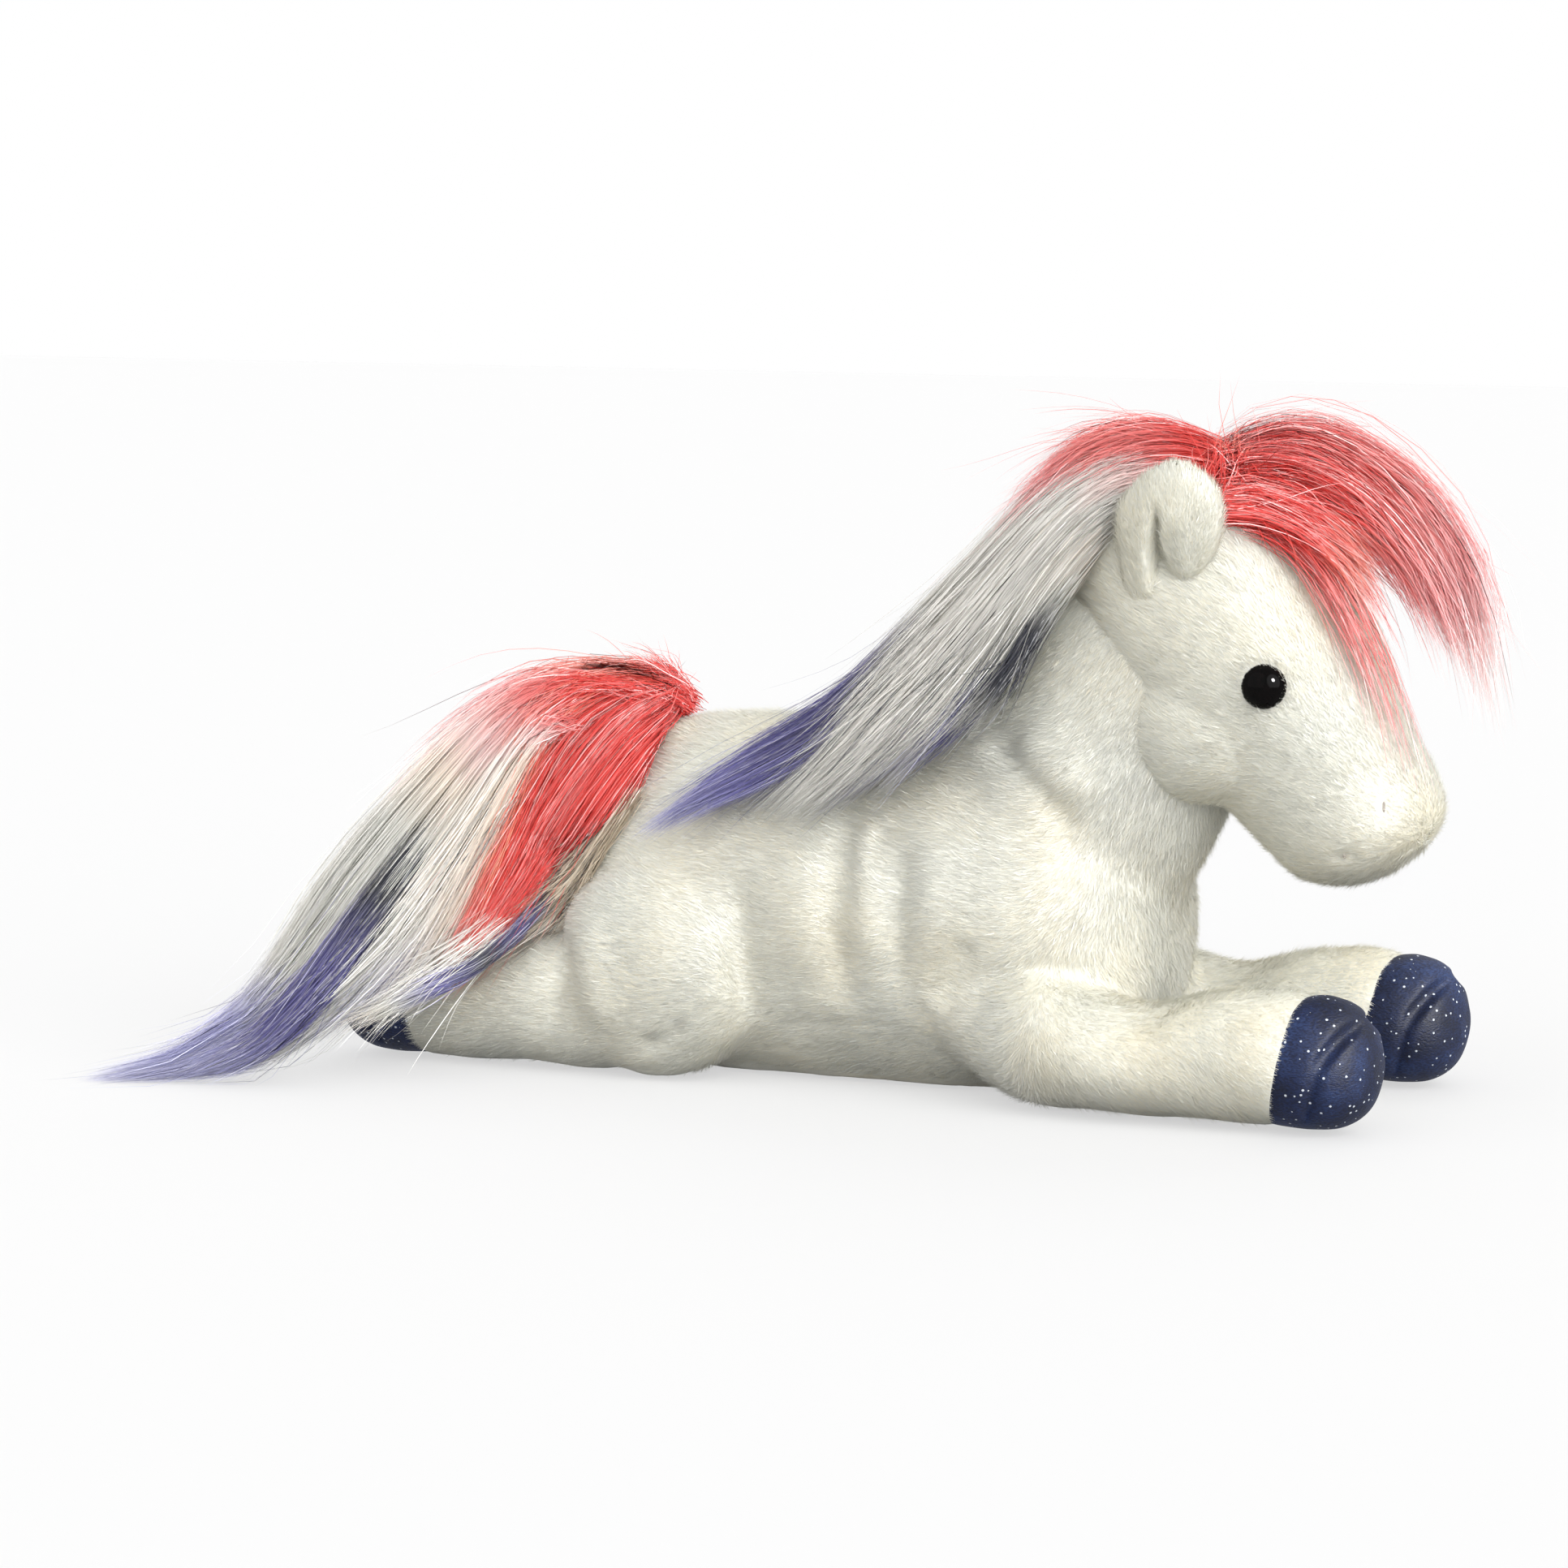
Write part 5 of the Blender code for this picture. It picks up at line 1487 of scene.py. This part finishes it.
HOOVES = (("fore", FORE_SEAM_X, FORELEG_START.y, 1.0), ("hind", HIND_SEAM_X, SHANK_START.y, -1.0))
for index, (word, side) in enumerate(SIDES):
    ear = make_ear(word, side)
    dress(ear, "ground", "ear_" + word, ("ear_" + word, "ear_lining_" + word))
    pile = make_pile(["ear_pile_" + word], ear, comb_ear, EAR_PILE_LENGTH, 80 + index, head)[0]
    dress(pile, "pile", "ear_" + word)
    for kind, seam_x, y, way in HOOVES:
        hoof = make_hoof(kind + "_hoof_velour_" + word, seam_x, side * y, way)
        dress(hoof, "hoof", kind + "leg_" + word, (kind + "_hoof_" + word,))
        give(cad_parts[kind + "_hoof_bean_bag_" + word], "canvas")
    dress(make_eye(word, side), "eye", "head", ("eye_" + word,))
    give(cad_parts["eye_washer_" + word], "washer")
    give(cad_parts["nostril_stitch_" + word], "thread")
    corner = on_skin(head_tree, [MOUTH_PIXEL])[0] / mm
    knot = piece_from("mouth_stitch_" + word, ball_form(mirror_place(corner, -side), STITCH_RADII))
    dress(knot, "thread", "head")
give(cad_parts["belly_bean_bag"], "canvas")
give(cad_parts["neck_gathering_thread"], "thread")

# Long hair: name, guides, strands, seed, thickness, look, other ways
LOCKS = (
    ("tail_hair_outer", TAIL_OUTER_GUIDES, 6800, 31, 7.0, "tail outer", {"end": (0.68, 1.0)}),
    ("tail_hair_middle", TAIL_MIDDLE_GUIDES, 6000, 41, 8.0, "tail middle", {"end": (0.7, 1.0)}),
    ("tail_hair_red", TAIL_RED_GUIDES, 6800, 42, 7.0, "tail red",
     {"end": (0.7, 1.0), "wander": 0.12, "ahead": 5.0}),
    ("tail_hair_fringe", TAIL_FRINGE_GUIDES, 480, 43, 4.0, "fine pink",
     {"skin": None, "end": (0.5, 1.0), "frizz": 2.0, "clump": 8}),
    ("tail_hair_root", TAIL_ROOT_GUIDES, 1500, 50, 4.0, "coral",
     {"end": (0.3, 1.0), "frizz": 1.6, "clump": 8, "root": 1.6}),
    ("tail_hair_dark", TAIL_DARK_GUIDES, 560, 44, 9.0, "dark",
     {"skin": None, "start": (0.4, 0.55), "gather": 0.75}),
    ("tail_hair_under", TAIL_UNDER_GUIDES, 900, 45, 3.0, "tail under",
     {"start": (0.25, 0.4), "end": (0.5, 1.0), "frizz": 1.5, "clump": 12, "ahead": 1.5, "thin": 1.5}),
    ("tail_hair_streak", TAIL_STREAK_GUIDES, 300, 55, 1.6, "streak",
     {"start": (0.0, 0.3), "end": (0.6, 1.0), "clump": 10, "ahead": 5.0, "nearer": 3.0}),
    ("tail_hair_low", TAIL_LOW_GUIDES, 200, 51, 5.0, "white", {"end": (0.5, 1.0), "frizz": 2.0, "clump": 6}),
    ("tail_hair_violet", TAIL_VIOLET_GUIDES, 900, 56, 2.0, "tail violet",
     {"skin": None, "start": (0.0, 0.4), "end": (0.6, 1.0), "clump": 20, "gather": 0.5, "nearer": 7.0}),
    ("mane_hair_main", MANE_MAIN_GUIDES, 9000, 32, 4.6, "mane",
     {"start": (0.0, 0.35), "end": (0.62, 1.0), "wander": 0.05, "gather": 0.35}),
    ("mane_hair_violet", MANE_VIOLET_GUIDES, 2600, 46, 3.0, "violet",
     {"start": (0.1, 0.4), "end": (0.75, 1.0), "gather": 0.6, "ahead": 5.5}),
    ("mane_hair_dark", MANE_DARK_GUIDES, 900, 47, 5.0, "dark",
     {"start": (0.1, 0.4), "end": (0.7, 1.0), "clump": 16, "gather": 0.7}),
    ("mane_hair_edge", MANE_EDGE_GUIDES, 300, 52, 3.0, "edge",
     {"start": (0.2, 0.5), "clump": 14, "frizz": 1.3}),
    ("mane_hair_red", MANE_RED_GUIDES, 1100, 48, 4.0, "fine pink",
     {"end": (0.45, 1.0), "frizz": 1.6, "clump": 10}),
    ("parting_hair", PARTING_GUIDES, 900, 53, 5.0, "coral",
     {"end": (0.3, 1.0), "frizz": 1.8, "clump": 6, "root": 2.5, "steps": 7}),
    ("crown_tuft_hair", TUFT_GUIDES, 3400, 33, 4.0, "rose", {"end": (0.45, 1.0), "frizz": 1.7, "clump": 14}),
    ("forelock_hair", FORELOCK_GUIDES, 5400, 34, 5.5, "forelock",
     {"end": (0.32, 1.0), "frizz": 1.5, "clump": 30, "gather": 0.7, "wander": 0.05, "root": 1.5,
      "thin": 2.4}),
    ("forelock_fine_hair", FORELOCK_GUIDES, 700, 54, 7.0, "pink",
     {"end": (0.5, 1.0), "frizz": 2.0, "clump": 5, "wander": 0.12, "root": 1.5}),
    ("forelock_root_hair", FORELOCK_ROOT_GUIDES, 2000, 49, 4.0, "coral",
     {"end": (0.4, 0.95), "frizz": 1.4, "clump": 14, "root": 1.5, "thin": 1.6}),
    ("face_lock_hair", FACE_LOCK_GUIDES, 170, 35, 1.2, "rose",
     {"end": (0.5, 1.0), "frizz": 1.4, "clump": 6, "thin": 2.0}),
)
STANDS_FOR = {
    "tail_hair_outer": "tail", "mane_hair_main": "mane", "crown_tuft_hair": "crown_tuft",
    "forelock_hair": "forelock",
}
for name, guides, count, seed, thick, look, ways in LOCKS:
    body = {"tail": "tail", "mane": "torso"}.get(name[:4], "head")
    skin = head_tree if body == "head" else trunk_tree
    hair = lock(name, guides, count, seed, thick, **{"skin": skin, **ways})
    dress(hair, look, body, (STANDS_FOR[name],) if name in STANDS_FOR else ())


# Floor, light and camera

FLOOR_GLOW = 0.58
AMBIENT = 0.82


def seen_rays(tree):
    """1 for the rays that see the white background: the camera's, and those of gloss and glass."""
    path = add(tree, "LightPath")
    rays = worked_out(tree, "MAXIMUM", path["Is Camera Ray"], path["Is Glossy Ray"])
    return worked_out(tree, "MAXIMUM", rays, path["Is Transmission Ray"])


def make_floor():
    reach = 4.0
    corners = [(-reach, -reach, 0), (reach, -reach, 0), (reach, reach, 0), (-reach, reach, 0)]
    floor = new_piece("floor", mesh_from("floor", corners, [(0, 1, 2, 3)]))
    material, tree, shader = new_material("white_floor")
    finish_look(tree, shader, (0.32, 0.32, 0.32, 1.0), 0.95, 0.0)
    glow = worked_out(tree, "MULTIPLY", seen_rays(tree), FLOOR_GLOW)
    wire(tree, shader, {"Emission Color": (1.0, 1.0, 1.0, 1.0), "Emission Strength": glow})
    floor.data.materials.append(material)


def make_world():
    world = bpy.data.worlds.new("studio")
    bpy.context.scene.world = world
    world.use_nodes = True
    tree = world.node_tree
    base = wire(tree, tree.nodes["Background"], {"Color": (1.0, 1.0, 1.0, 1.0), "Strength": AMBIENT})
    white = add(tree, "Background", {"Color": (1.0, 1.0, 1.0, 1.0), "Strength": 1.0})
    mix = add(tree, "MixShader", {0: seen_rays(tree), 1: base.outputs[0], 2: white[0]})
    tree.links.new(mix[0], tree.nodes["World Output"].inputs[0])


def make_sun(name, towards, angle, power, shine_only=False):
    """Soft light from a direction, as from a large box far away."""
    data = bpy.data.lights.new(name, "SUN")
    data.angle = math.radians(angle)
    data.energy = power
    lamp = new_piece(name, data)
    lamp.visible_diffuse = not shine_only
    lamp.rotation_euler = Vector(towards).to_track_quat("Z", "Y").to_euler()


def make_camera():
    data = bpy.data.cameras.new("camera")
    data.lens = CAMERA_LENS
    data.sensor_width = SENSOR_WIDTH
    data.clip_start = 0.05
    camera = new_piece("camera", data)
    camera.location = EYE
    camera.rotation_euler = VIEW.to_track_quat("-Z", "Y").to_euler()
    bpy.context.scene.camera = camera


make_floor()
make_world()
make_sun("key", (0.85, -0.5, 0.38), 60.0, 2.4)
make_sun("top", (0.0, 0.85, 0.85), 45.0, 0.45)
make_sun("fill", (-0.35, -0.9, 0.4), 75.0, 0.5)
make_sun("eye_light", (0.742, -0.5, 0.447), 13.0, 16.0, True)
make_camera()
bpy.context.scene.view_settings.view_transform = "Standard"
